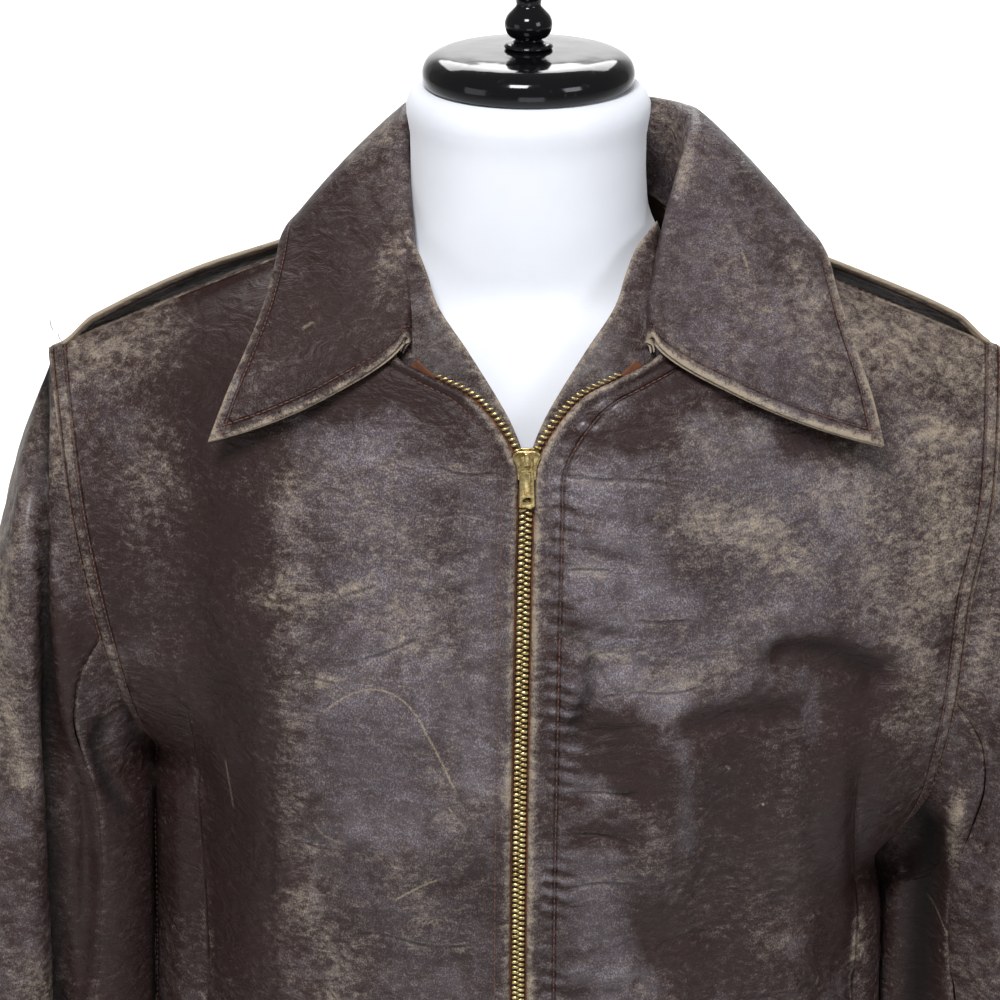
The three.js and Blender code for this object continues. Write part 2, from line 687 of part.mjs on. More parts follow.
function coatPieces() {
  const across = evenly(12);
  const up = stations(FRONT_STEPS);
  const backAcross = evenly(18);
  const backUp = stations(BACK_STEPS);
  const under = FRONT_STEPS[0] * 3;
  const backSurfaceOf = backSurface();
  const back = gridOf(backSurfaceOf, backAcross, backUp);
  const backNormals = normalsOf(back, -1);
  const sheets = [];
  [1, -1].forEach((s) => {
    const side = sideOf(s);
    const surface = frontSurface(s);
    const front = gridOf(surface, across, up);
    const frontNormals = normalsOf(front, s);
    const edge = s > 0 ? back.length - 1 : 0;
    const frontHole = column(front, front.length - 1).slice(under).reverse();
    const backHole = column(back, edge).slice(under);
    const frontOut = column(frontNormals, front.length - 1).slice(under).reverse();
    const backOut = column(backNormals, edge).slice(under);
    const proud = [...frontOut, ...backOut.slice(1)];
    const loop = [...frontHole, ...backHole.slice(1)].map((p, i) => {
      const armpit = Math.exp(-(((i - frontHole.length + 1) / 2.5) ** 2));
      return p.clone().addScaledVector(proud[i], SLEEVE_PROUD * (1 + armpit));
    });
    const frontCount = frontHole.length - 1;
    const sleeve = sleeveGrid(s, loop, frontCount);
    const sleeveNormals = normalsOf([...sleeve.slice(-2, -1), ...sleeve, sleeve[1]], s).slice(1, -1);
    const outer = front.length - 1;
    const topRow = up.length - 1;
    const seams = [];
    for (let j = 0; j < under; j += 1) {
      seams.push([[frontNormals, outer, j], [backNormals, edge, j]]);
    }
    for (let i = 0; i < loop.length; i += 1) {
      const group = [[sleeveNormals, i, 0]];
      if (i <= frontCount) {
        group.push([frontNormals, outer, topRow - i]);
      }
      if (i >= frontCount) {
        group.push([backNormals, edge, under + i - frontCount]);
      }
      seams.push(group);
    }
    shareSeam(seams);
    const ridge = P(0.4 * s, 0, 0.92).normalize();
    frontNormals.forEach((line) => line[topRow].copy(ridge));
    backNormals.forEach((line, i) => {
      if ((i / (back.length - 1) - 0.5) * s > 1 / 6) {
        line[backUp.length - 1].copy(ridge);
      }
    });
    drawBack(column(front, outer), column(front, outer - 1), GAP);
    drawBack(column(back, edge), column(back, edge > 0 ? edge - 1 : 1), GAP);
    drawBack(row(sleeve, 0), row(sleeve, 1), GAP * 3.3);
    sheets.push({ s, side, surface, front, frontNormals, sleeve, sleeveNormals });
  });
  return { back, backNormals, backSurfaceOf, sheets };
}

// The sleeve is sewn from a wide top piece and a narrow under piece.
const SEAM_FRONT = 10;
const SEAM_BACK = 21;

function sleeveParts(sleeve, normals, s, side) {
  const count = sleeve.length - 1;
  const pick = (from, to) => {
    const ids = [];
    for (let i = from; i <= to; i += 1) {
      ids.push(i % count);
    }
    const grid = ids.map((i) => sleeve[i].map((p) => p.clone()));
    drawBack(grid[0], grid[1], GAP * 1.5);
    drawBack(grid[grid.length - 1], grid[grid.length - 2], GAP * 1.5);
    return sheet(grid, ids.map((i) => normals[i]), WALL, s);
  };
  return [
    leather(`sleeve_${side}_top`, pick(SEAM_BACK, count + SEAM_FRONT)),
    leather(`sleeve_${side}_under`, pick(SEAM_FRONT, SEAM_BACK)),
  ];
}

function collarParts() {
  const grid = gridOf(collarSurface(), COLLAR_ACROSS, COLLAR_UP);
  const normals = normalsOf(grid, 1);
  const under = layerBehind(grid, normals, COLLAR_UPPER + GAP * 2);
  return [
    leather('collar_upper', sheet(grid, normals, COLLAR_UPPER, 1)),
    leather('collar_under', sheet(under, normals, COLLAR_UNDER, 1)),
  ];
}

function zipParts(surface, s, side) {
  const knots = FRONT_EDGE.length - 1;
  const tape = edgeStrip(surface, s, [[0, 1.05, -2.1], [0.03, 0, -2.7]], TAPE, 8.8 / knots);
  const teeth = edgeStrip(surface, s, [[0, 4.05, 0.2], [0, 1.4, 0.2]], 2.2, 8.6 / knots);
  const facing = facingGrid(surface, s);
  return [
    mesh(`zip_tape_${side}`, tape, RUST, 0.9, 0),
    mesh(`zip_teeth_${side}`, teeth, BRASS, 0.35, 1),
    mesh(`facing_${side}`, sheet(facing, normalsOf(facing, s), FACING, s), LEATHER_DARK, 0.5, 0),
  ];
}

async function build() {
  const wasm = await Module();
  wasm.setup();
  const coat = new THREE.Group();
  const { back, backNormals, backSurfaceOf, sheets } = coatPieces();
  coat.add(leather('back', sheet(back, backNormals, WALL, -1)));
  sheets.forEach(({ s, side, surface, front, frontNormals, sleeve, sleeveNormals }) => {
    const strap = strapGrid(backSurfaceOf, s);
    coat.add(leather(`front_${side}`, sheet(front, frontNormals, WALL, s)));
    coat.add(...sleeveParts(sleeve, sleeveNormals, s, side));
    coat.add(...zipParts(surface, s, side));
    coat.add(leather(`shoulder_strap_${side}`, sheet(strap, normalsOf(strap, s), STRAP, s)));
  });
  coat.add(...collarParts());
  coat.add(mesh('zip_slider', sliderGeometry(wasm), BRASS, 0.3, 1));
  coat.add(mesh('zip_pull', pullGeometry(wasm), BRASS, 0.3, 1));
  const stand = new THREE.Group();
  stand.add(mesh('form_torso', formGeometry(), WHITE, 0.8, 0));
  stand.add(mesh('form_neck_cap', capGeometry(), BLACK, 0.15, 0));
  stand.add(mesh('form_finial', finialGeometry(), BLACK, 0.15, 0));
  stand.add(mesh('stand_pole', poleGeometry(), BLACK, 0.3, 0));
  stand.add(mesh('stand_base', baseGeometry(), BLACK, 0.4, 0));
  const whole = new THREE.Group();
  whole.add(coat, stand);
  return whole;
}

export default await build();
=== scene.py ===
# %% [markdown]
# # A worn leather coat on a dress form
# This lesson dresses a measured frame. The frame holds every piece of the coat as a plain solid
# of the right size, and this script gives each one the look of real leather, brass and cloth.
# The coat is old horsehide: stiff, glossy where it is still whole, and rubbed to a dry tan along
# its edges. Everything is in metres, and each new piece rides on the frame's own bodies.

# %% Load the frame
import math

import bmesh
import bpy
import numpy as np
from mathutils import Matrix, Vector
from mathutils.kdtree import KDTree


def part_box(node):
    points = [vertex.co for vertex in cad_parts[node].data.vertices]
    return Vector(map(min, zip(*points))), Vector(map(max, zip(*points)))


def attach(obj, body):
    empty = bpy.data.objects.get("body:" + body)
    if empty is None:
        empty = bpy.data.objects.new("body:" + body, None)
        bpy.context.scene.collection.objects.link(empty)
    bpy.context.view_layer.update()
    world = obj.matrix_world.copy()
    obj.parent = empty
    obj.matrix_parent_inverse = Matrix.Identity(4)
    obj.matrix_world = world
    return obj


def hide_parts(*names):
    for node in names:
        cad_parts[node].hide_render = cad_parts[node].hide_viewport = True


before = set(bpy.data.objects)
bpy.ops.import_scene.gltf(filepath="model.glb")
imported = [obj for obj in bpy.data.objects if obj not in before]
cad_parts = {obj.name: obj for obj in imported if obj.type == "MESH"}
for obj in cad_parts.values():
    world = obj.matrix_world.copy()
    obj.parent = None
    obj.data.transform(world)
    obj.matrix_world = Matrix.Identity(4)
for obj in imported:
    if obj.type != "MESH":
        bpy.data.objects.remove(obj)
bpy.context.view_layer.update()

MM = 0.001

# %% [markdown]
# The camera stands as a person would who looks a little down on the collar: close, with a long
# lens, so that the shoulders just leave the view. The floor and the wall behind it are one pale
# sweep, and the light is a wide soft one from above with a weaker one from each side. Wide lights
# matter for leather: its shine is a blurred picture of them.

# %% Camera, sweep and lights
LOOK_AT = Vector((-0.0126, 0.0, 1.3))
TILT = math.radians(20)
camera_data = bpy.data.cameras.new("camera")
camera_data.lens = 128.16
camera_data.sensor_width = 36
camera = bpy.data.objects.new("camera", camera_data)
bpy.context.scene.collection.objects.link(camera)
camera.location = LOOK_AT + Vector((0, -1.8 * math.cos(TILT), 1.8 * math.sin(TILT)))
camera.rotation_euler = (math.pi / 2 - TILT, 0, 0)
bpy.context.scene.camera = camera


def pick(*pieces):
    """Only these pieces selected and none in edit mode, so that the next operator acts on them."""
    if bpy.context.object and bpy.context.object.mode != "OBJECT":
        bpy.ops.object.mode_set(mode="OBJECT")
    bpy.ops.object.select_all(action="DESELECT")
    for piece in pieces:
        piece.select_set(True)
    if pieces:
        bpy.context.view_layer.objects.active = pieces[0]


pick()
bpy.ops.mesh.primitive_plane_add(size=14, location=(0, 0, 0))
sweep = bpy.context.object
sweep.name = "sweep"
bpy.ops.object.mode_set(mode="EDIT")
bpy.ops.mesh.select_all(action="DESELECT")
sweep_mesh = bmesh.from_edit_mesh(sweep.data)
for edge in sweep_mesh.edges:
    edge.select = all(v.co.y > 6.9 for v in edge.verts)
bmesh.update_edit_mesh(sweep.data)
bpy.ops.mesh.extrude_region_move(TRANSFORM_OT_translate={"value": (0, 0, 7)})
bpy.ops.mesh.select_all(action="SELECT")
bpy.ops.mesh.bevel(offset=1.5, segments=12, affect="EDGES")
bpy.ops.object.mode_set(mode="OBJECT")
bpy.ops.object.shade_smooth()

world = bpy.data.worlds.new("studio")
bpy.context.scene.world = world
world.use_nodes = True
world.node_tree.nodes["Background"].inputs["Color"].default_value = (1, 1, 1, 1)
world.node_tree.nodes["Background"].inputs["Strength"].default_value = 0.22
bpy.context.scene.view_settings.view_transform = "Standard"


def soft_light(name, place, size, power, colour=(1, 1, 1)):
    """A square light that faces the coat's chest."""
    data = bpy.data.lights.new(name, "AREA")
    data.size = size
    data.energy = power
    data.color = colour
    lamp = bpy.data.objects.new(name, data)
    bpy.context.scene.collection.objects.link(lamp)
    lamp.location = place
    lamp.rotation_euler = (LOOK_AT - Vector(place)).to_track_quat("-Z", "Y").to_euler()
    return lamp


soft_light("key", (-0.35, -1.5, 3.2), 0.7, 56, (0.97, 0.98, 1.0))
soft_light("window", (1.9, -1.7, 2.3), 0.9, 15, (0.9, 0.94, 1.0))
soft_light("fill", (-2.3, -1.4, 1.5), 1.2, 6, (0.93, 0.95, 1.0))
soft_light("low_front", (0.15, -2.7, 0.35), 1.3, 9, (0.88, 0.92, 1.0))
wash = soft_light("sweep_wash", (0, 4.6, 4.2), 4.0, 300)
wash.rotation_euler = (0, 0, 0)
print("camera", [round(v, 3) for v in camera.location])

# %% [markdown]
# A finish is a small graph of nodes. Written out one by one the nodes hide the idea, so one class
# wraps an output and lets it be used in sums, and another adds any other kind of node in one line.

# %% A small language for finishes


class Wire:
    """An output that can be added, multiplied and compared like a number."""

    def __init__(self, finish, socket):
        self.finish = finish
        self.socket = socket

    def calculate(self, operation, *others):
        node = self.finish.tree.nodes.new("ShaderNodeMath")
        node.operation = operation
        for slot, value in zip(node.inputs, (self, *others)):
            self.finish.plug(slot, value)
        return Wire(self.finish, node.outputs[0])

    def __add__(self, other):
        return self.calculate("ADD", other)

    def __mul__(self, other):
        return self.calculate("MULTIPLY", other)

    def __sub__(self, other):
        return self.calculate("SUBTRACT", other)

    def __rsub__(self, other):
        return (self * -1) + other

    __radd__ = __add__
    __rmul__ = __mul__

    def highest(self, other):
        return self.calculate("MAXIMUM", other)

    def lowest(self, other):
        return self.calculate("MINIMUM", other)

    def size(self):
        return self.calculate("ABSOLUTE")

    def ramp(self, low, high):
        """0 below low, 1 above high, smooth between; low above high turns it round."""
        return self.finish.node("ShaderNodeMapRange", {"interpolation_type": "SMOOTHSTEP"},
                                {"Value": self, "From Min": low, "From Max": high})

# %% [markdown]
# A finish starts from plain settings, takes nodes one by one and is closed by plugging wires into
# the shader.

# %% A finish


class Finish:
    """A material that is being made."""

    def __init__(self, name, **settings):
        self.material = bpy.data.materials.new(name)
        self.material.use_nodes = True
        self.tree = self.material.node_tree
        self.shader = self.tree.nodes["Principled BSDF"]
        for socket, value in settings.items():
            self.shader.inputs[socket.replace("_", " ")].default_value = value

    def plug(self, slot, value):
        if isinstance(value, Wire):
            self.tree.links.new(value.socket, slot)
        else:
            slot.default_value = value

    def node(self, kind, settings=None, inputs=None, output=0):
        node = self.tree.nodes.new(kind)
        for key, value in (settings or {}).items():
            setattr(node, key, value)
        for key, value in (inputs or {}).items():
            self.plug(node.inputs[key], value)
        return Wire(self, node.outputs[output])

    def place(self, stretch=(1, 1, 1)):
        """Where a point is on the piece, in metres, stretched along some of the axes."""
        where = self.node("ShaderNodeTexCoord", output="Object")
        return self.node("ShaderNodeMapping", None, {"Vector": where, "Scale": stretch})

    def noise(self, vector, scale, detail=3.0, roughness=0.5, twist=0.0):
        return self.node("ShaderNodeTexNoise", None,
                         {"Vector": vector, "Scale": scale, "Detail": detail,
                          "Roughness": roughness, "Distortion": twist})

    def cells(self, vector, scale):
        return self.node("ShaderNodeTexVoronoi", None, {"Vector": vector, "Scale": scale})

    def threads(self, vector, direction, scale, twist, detail=2.0):
        """Even stripes along one axis, as woven or knitted threads make."""
        return self.node("ShaderNodeTexWave", {"bands_direction": direction},
                         {"Vector": vector, "Scale": scale, "Distortion": twist, "Detail": detail})

    def mark(self, name):
        """A number kept at each of the piece's points."""
        return self.node("ShaderNodeAttribute", {"attribute_name": name}, output="Fac")

    def blend(self, share, low, high):
        """The colour low where share is 0 and high where it is 1."""
        node = self.tree.nodes.new("ShaderNodeMix")
        node.data_type = "RGBA"
        for number, value in ((0, share), (6, low), (7, high)):
            plain = isinstance(value, (Wire, float))
            self.plug(node.inputs[number], value if plain else (*value, 1))
        return Wire(self, node.outputs[2])

    def relief(self, height, distance):
        return self.node("ShaderNodeBump", None, {"Height": height, "Distance": distance})

    def finish(self, **sockets):
        for socket, value in sockets.items():
            self.plug(self.shader.inputs[socket.replace("_", " ")], value)
        return self.material


def colour(red, green, blue):
    """A colour given as 0-255 on a screen, as the shader's linear light."""
    return tuple(round(((v / 255 + 0.055) / 1.055) ** 2.4, 4) for v in (red, green, blue))


pale = Finish("pale_sweep", Base_Color=(0.9, 0.9, 0.9, 1), Roughness=0.9)
paper = pale.noise(pale.place(), 3.0)
pale.finish(Base_Color=pale.blend(paper, (0.9, 0.9, 0.9), (0.93, 0.93, 0.93)))
sweep.data.materials.append(pale.material)

# %% [markdown]
# ## Cloth from its own solid
# A coat is flat pieces of hide sewn edge to edge, so every piece here is a sheet with four sides.
# The frame holds each as a thin solid whose outside is a coarse grid of triangles. The grid is
# read back, row by row, and drawn again much finer as a smooth curve through the same points.
# That keeps the piece where the frame says and gives room for creases.

# %% Read a piece's grid


def one_side(node, wall, towards):
    """The faces of a thin solid that look towards a direction, without its rim."""
    side = bmesh.new()
    side.from_mesh(bpy.data.objects[node].data)
    bmesh.ops.remove_doubles(side, verts=side.verts, dist=1e-5)
    rim = [face for face in side.faces
           if min(edge.calc_length() for edge in face.edges) < wall * 1.35]
    bmesh.ops.delete(side, geom=rim, context="FACES_ONLY")
    bmesh.ops.delete(side, geom=[e for e in side.edges if not e.link_faces], context="EDGES")
    bmesh.ops.delete(side, geom=[v for v in side.verts if not v.link_faces], context="VERTS")
    left, parts = set(side.faces), []
    while left:
        reach = [left.pop()]
        part = []
        while reach:
            face = reach.pop()
            part.append(face)
            for edge in face.edges:
                for other in edge.link_faces:
                    if other in left:
                        left.remove(other)
                        reach.append(other)
        parts.append(part)
    hint = Vector(towards)
    keep = max(parts, key=lambda part: sum(f.normal.dot(hint) * f.calc_area() for f in part))
    bmesh.ops.delete(side, geom=list(set(side.faces) - set(keep)), context="FACES")
    return side


def read_grid(node, wall, towards, first, second):
    """The points of a piece, row by row, the first row running from corner first to second."""
    side = one_side(node, wall, towards)
    corners = [v for v in side.verts if len(v.link_edges) <= 3]

    def nearest(place):
        return min(corners, key=lambda v: (v.co - Vector(place) * MM).length)

    start, goal = nearest(first), nearest(second)
    rows = []
    for step in [e for e in start.link_edges if e.is_boundary]:
        row, edge = [start], step
        while True:
            row.append(edge.other_vert(row[-1]))
            if row[-1] in corners:
                break
            edge = next(e for e in row[-1].link_edges if e.is_boundary and e is not edge)
        if row[-1] is goal:
            rows = [row]
    seen = set(rows[0])
    while True:
        free = {v: [e.other_vert(v) for e in v.link_edges if e.other_vert(v) not in seen]
                for v in rows[-1]}
        if not any(free.values()):
            break
        order = rows[-1] if len(free[rows[-1][0]]) == 1 else rows[-1][::-1]
        row = []
        for v in order:
            row.append(next(w for w in free[v] if w not in row))
        seen.update(row)
        rows.append(row if order is rows[-1] else row[::-1])
    grid = np.array([[tuple(v.co) for v in row] for row in rows]).transpose(1, 0, 2)
    side.free()
    print(node, "grid", grid.shape[0], "by", grid.shape[1])
    return grid


# %% [markdown]
# A few extra rows lie close to each edge, so that it can be rounded.

# %% Draw a grid finer


def lengths_along(grid):
    """How far each column is from the first one, in metres, as a mean over the rows."""
    steps = np.linalg.norm(np.diff(grid, axis=0), axis=2).mean(axis=1)
    return np.concatenate([[0], np.cumsum(steps)])


def through(grid, knots, places):
    """A smooth curve through each row's points, read at other places along it."""
    gaps = np.diff(knots)
    slopes = np.diff(grid, axis=0) / gaps[:, None, None]
    tangents = np.empty_like(grid)
    before, after = gaps[:-1, None, None], gaps[1:, None, None]
    tangents[1:-1] = (slopes[:-1] * after + slopes[1:] * before) / (before + after)
    tangents[0] = 1.5 * slopes[0] - 0.5 * tangents[1]
    tangents[-1] = 1.5 * slopes[-1] - 0.5 * tangents[-2]
    index = np.clip(np.searchsorted(knots, places, side="right") - 1, 0, len(gaps) - 1)
    width = gaps[index][:, None, None]
    t = ((places - knots[index]) / gaps[index])[:, None, None]
    return ((2 * t**3 - 3 * t**2 + 1) * grid[index]
            + (t**3 - 2 * t**2 + t) * width * tangents[index]
            + (3 * t**2 - 2 * t**3) * grid[index + 1]
            + (t**3 - t**2) * width * tangents[index + 1])


def places_along(total, step, lip):
    """Even places along a length, with a few extra close to both ends for a rounded edge."""
    count = max(4, round(total / step))
    even = np.linspace(0, total, count + 1)
    extra = np.array([0.25, 0.6, 1.1]) * lip
    middle = even[(even > lip * 1.5) & (even < total - lip * 1.5)]
    return np.concatenate([[0], extra, middle, total - extra[::-1], [total]])


def facing(grid):
    """The direction that the cloth faces at each point."""
    across, along = np.gradient(grid, axis=0), np.gradient(grid, axis=1)
    normal = np.cross(across, along)
    return normal / np.maximum(np.linalg.norm(normal, axis=2, keepdims=True), 1e-12)

# %% [markdown]
# Each grid is kept with its facings and with the distance of every point from the four edges.
# Stitches, wear and seams are all placed by those distances.

# %% Cloth


class Cloth:
    """A piece of hide: its fine grid, where it faces, and how far each point is from its edges."""

    def __init__(self, node, wall, fine, towards):
        self.node, self.wall = node, wall
        self.draw(fine, towards)

    def draw(self, fine, towards=None):
        """Take a new grid; it still faces the way it did, unless another way is given."""
        towards = self.normal.mean(axis=(0, 1)) if towards is None else np.array(towards)
        self.grid = fine
        self.turned = (facing(fine) @ towards).mean() < 0
        self.normal = facing(fine) * (-1 if self.turned else 1)
        side = np.linalg.norm(np.diff(fine, axis=0), axis=2)
        up = np.linalg.norm(np.diff(fine, axis=1), axis=2)
        self.u = np.concatenate([np.zeros((1, fine.shape[1])), np.cumsum(side, axis=0)])
        self.v = np.concatenate([np.zeros((fine.shape[0], 1)), np.cumsum(up, axis=1)], axis=1)
        self.edges = {"u0": self.u, "u1": self.u[-1] - self.u,
                      "v0": self.v, "v1": self.v[:, -1:] - self.v}
        self.rise = np.zeros(fine.shape[:2])
        self.marks = {}
        quads = np.linalg.norm(np.cross(fine[1:, :-1] - fine[:-1, :-1],
                                        fine[:-1, 1:] - fine[:-1, :-1]), axis=2)
        self.flat = (float(self.u[-1].max()), float(self.v[:, -1].max()), float(quads.sum()))

    def mm(self, axis):
        return self.grid[..., axis] / MM

    def away(self, *names):
        """How far each point is from the nearest of some edges, or of all four, in millimetres."""
        return np.minimum.reduce([self.edges[name] for name in names or self.edges]) / MM


def sheet(node, wall, towards, first, second, step, more=(), sign=1):
    """The cloth of one solid, and of some rows more where the solid was left short."""
    coarse = read_grid(node, wall, towards, first, second)
    if more:
        extra = np.array(more).transpose(1, 0, 2) * (sign, 1, 1) * MM
        coarse = np.concatenate([coarse[:, :-1], extra], axis=1)
    across, along = lengths_along(coarse), lengths_along(coarse.transpose(1, 0, 2))
    fine = through(coarse, across, places_along(across[-1], step[0], wall))
    fine = through(fine.transpose(1, 0, 2), along, places_along(along[-1], step[1], wall))
    return Cloth(node, wall, fine.transpose(1, 0, 2), towards)


def smooth(value, low, high):
    """0 below low, 1 above high, smooth between."""
    t = np.clip((value - low) / (high - low), 0, 1)
    return t * t * (3 - 2 * t)

# %% [markdown]
# The fronts show the most, so their grids are the finest. Each piece is named by two of its
# corners, in millimetres, between which its first row runs.

# %% Read the body and the sleeves
SIDES = {"left": 1, "right": -1}
HIDE = 1.8 * MM
FRONT_STEP, BACK_STEP = (2.5 * MM, 1.8 * MM), (4.2 * MM, 3.6 * MM)
TOP_STEP, UNDER_STEP = (2.8 * MM, 3.0 * MM), (3.6 * MM, 3.5 * MM)
FRONT, REAR = (0, -1, 0), (0, 1, 0)
front_left = sheet("front_left", HIDE, FRONT, (1.2, -104, 770), (184, 5.7, 770), FRONT_STEP)
front_right = sheet("front_right", HIDE, FRONT, (-7.2, -104, 770), (-194, 5.7, 770), FRONT_STEP)
fronts = {"left": front_left, "right": front_right}
back = sheet("back", HIDE, REAR, (183.9, 6.3, 770), (-193.8, 6.2, 770), BACK_STEP)
sleeves = {}
for side, sign in SIDES.items():
    for part, way, inner, outer, step in (("top", sign, 256.7, 293, TOP_STEP),
                                          ("under", -sign, 256, 292.5, UNDER_STEP)):
        sleeves[side, part] = sheet(f"sleeve_{side}_{part}", HIDE, (way, 0, 0),
                                    (sign * inner, -38, 772), (sign * outer, 38.5, 772), step)
print("front cut, metres", [round(v, 3) for v in front_left.flat])

# %% [markdown]
# Where body and sleeve hang side by side, two heavy hides almost touch. The frame leaves air there
# so that its solids never meet, so both sides are drawn together here, most just below the armpit
# and not at all at the hem. The shift is averaged over neighbours, which keeps it smooth.

# %% Draw body and sleeve together


def tree_of(points):
    tree = KDTree(len(points))
    for index, point in enumerate(points):
        tree.insert(point, index)
    tree.balance()
    return tree


def towards_nearest(points, tree):
    """The way from each point to the nearest point of a tree."""
    ways = [np.array(tree.find(p)[0]) - p for p in points.reshape(-1, 3)]
    return np.array(ways).reshape(points.shape)


def averaged(field, passes):
    """The same shifts, each made the mean of its neighbours' a few times, so that none jumps."""
    for _ in range(passes):
        wide = np.pad(field, ((1, 1), (1, 1), (0, 0)), mode="edge")
        field = (wide[:-2, 1:-1] + wide[2:, 1:-1] + wide[1:-1, :-2] + wide[1:-1, 2:]
                 + 2 * field) / 6
    return field


SIDE_GAP = 1.0 * MM
SLEEVE_SHARE, BODY_SHARE = 0.62, 0.38
BODY_TOP, BODY_MIDDLE = 1.2, 0.1
LOWEST, HIGHEST, BELOW_ARMPIT, ABOVE_ARMPIT = 880, 1000, 11, 7
for side, sign in SIDES.items():
    front, under_arm = fronts[side], sleeves[side, "under"]
    armpit = under_arm.grid[:, -1, 2].min() / MM
    body = np.concatenate([front.grid.reshape(-1, 3), back.grid.reshape(-1, 3)])
    body = body[(body[:, 2] < BODY_TOP) & (body[:, 0] * sign > BODY_MIDDLE)]
    body_tree, arm_tree = tree_of(body), tree_of(under_arm.grid.reshape(-1, 3))
    drawn = []
    for cloth, tree, take in ((under_arm, body_tree, SLEEVE_SHARE),
                              (front, arm_tree, BODY_SHARE), (back, arm_tree, BODY_SHARE)):
        height = cloth.mm(2)
        low = smooth(height, LOWEST, HIGHEST)
        low = low * (1 - smooth(height, armpit - BELOW_ARMPIT, armpit + ABOVE_ARMPIT))
        way = towards_nearest(cloth.grid, tree)
        far = np.linalg.norm(way, axis=2)
        share = low * (1 - smooth(far / MM, 30, 60))
        share = share * np.clip(far - SIDE_GAP, 0, 1) / np.maximum(far, 1e-6)
        if cloth is under_arm:
            share = share * smooth(cloth.away("u0", "u1"), 0, 24)
        drawn.append((cloth, cloth.grid + averaged(take * way * share[..., None], 10)))
    for cloth, grid in drawn:
        cloth.draw(grid)
    print(side, "armpit height, mm", round(float(armpit)))

# %% [markdown]
# ## Creases
# Leather doesn't hang in even waves like wool. It keeps the folds its wearer made: soft hollows
# where an arm pressed it, a few hard creases beside them, and flat glossy skin in between. A
# simulation can't know which folds a wearer made, so each main one is listed as a line
# with a width and a depth, in millimetres. A trough is sunk along its line, a ridge stands up,
# and a lap falls away on one side only, as where one layer rolls over the next.

# %% Crease tools
# The distance, in millimetres, that a point keeps while no line is near it.
FAR = 20.0


def hump(value, middle, width):
    """1 where value is at the middle, and falling away smoothly on both sides."""
    return np.exp(-((value - middle) / width) ** 2)


def beside(cloth, line, plane=(0, 2)):
    """How far each point is from a line, on which side of it, and how far along it, in a plane."""
    points = np.stack([cloth.mm(plane[0]), cloth.mm(plane[1])], axis=-1)
    best = np.full(points.shape[:-1], 1e9)
    sign = np.ones_like(best)
    along = np.zeros_like(best)
    line = np.array(line, dtype=float)
    lengths = np.linalg.norm(np.diff(line, axis=0), axis=1)
    total, done = lengths.sum(), 0.0
    for a, b, length in zip(line[:-1], line[1:], lengths):
        way = (b - a) / length
        offset = points - a
        t = np.clip(offset @ way, 0, length)
        d = np.linalg.norm(offset - t[..., None] * way, axis=-1)
        nearer = d < best
        best = np.where(nearer, d, best)
        cross = way[0] * offset[..., 1] - way[1] * offset[..., 0]
        sign = np.where(nearer, np.where(cross >= 0, 1.0, -1.0), sign)
        along = np.where(nearer, (done + t) / total, along)
        done += length
    return best, sign, along


def rounded(line, turns=2):
    """The same line with its corners cut off, so that a crease bends and doesn't kink."""
    line = [np.array(p, dtype=float) for p in line]
    for _ in range(turns):
        if len(line) < 3:
            return line
        new = [line[0]]
        for a, b in zip(line[:-1], line[1:]):
            new += [a * 0.75 + b * 0.25, a * 0.25 + b * 0.75]
        line = new + [line[-1]]
    return line


def keep_strongest(cloth, name, strength, offset):
    """Write down a thin line: how strong it is at each point, and how far to the side it lies."""
    on = cloth.marks.setdefault(f"{name}_on", np.zeros_like(strength))
    off = cloth.marks.setdefault(f"{name}_side", np.full_like(strength, FAR))
    stronger = strength > on
    cloth.marks[f"{name}_on"] = np.where(stronger, strength, on)
    cloth.marks[f"{name}_side"] = np.where(stronger, offset, off)


def fold(cloth, kind, line, width, depth, plane=(0, 2), facing_side=None):
    """Sink, raise or lap the cloth along a line; a sharp fold also cracks the finish and gets a
    thin line of painted shade.
    """
    touch, shape = kind.split()
    distance, side, along = beside(cloth, rounded(line), plane)
    fade = smooth(along, 0.0, 0.16) * (1 - smooth(along, 0.84, 1.0))
    if facing_side:
        fade = fade * smooth(cloth.normal @ np.array(facing_side), 0.05, 0.4)
    hollow = hump(distance, 0, width)
    if shape == "trough":
        cloth.rise -= depth * fade * hollow
    elif shape == "ridge":
        cloth.rise += depth * fade * hollow
    else:
        high = np.exp(-np.maximum(distance - width * 0.3, 0) / (width * 1.6)) * (side > 0)
        cloth.rise += depth * fade * (high * smooth(distance, 0, width * 0.8) - 0.45 * hollow)
    if touch == "sharp":
        keep_strongest(cloth, "crease", fade * hump(distance, 0, 7), distance * side)


def folds(cloth, rows, **where):
    """Many folds, each a kind, a line, a width and a depth."""
    for row in rows:
        fold(cloth, *row, **where)


def scratches(cloth, rows):
    """Thin pale lines where the finish was cut through."""
    for line, strength in rows:
        distance, side, along = beside(cloth, rounded(line))
        fade = smooth(along, 0.0, 0.1) * (1 - smooth(along, 0.9, 1.0))
        keep_strongest(cloth, "scratch", strength * fade * hump(distance, 0, 6), distance * side)


def rubs(cloth, name, rows, plane=(0, 2)):
    """Soft-edged areas along lines: worn finish, real shine with painted sheen, painted shade, or
    painted deep shade.
    """
    for line, width, strength in rows:
        distance, _, _ = beside(cloth, line, plane)
        mask = cloth.marks.setdefault(name, np.zeros_like(distance))
        cloth.marks[name] = np.maximum(mask, strength * hump(distance, 0, width))

# %% [markdown]
# Between its creases a hide is never quite flat. Smooth random hills, from a table of numbers
# drawn with a fixed seed, give soft swells a hand wide, ripples a finger wide, and the slack
# wrinkles beside the zip.

# %% Hills and ripples


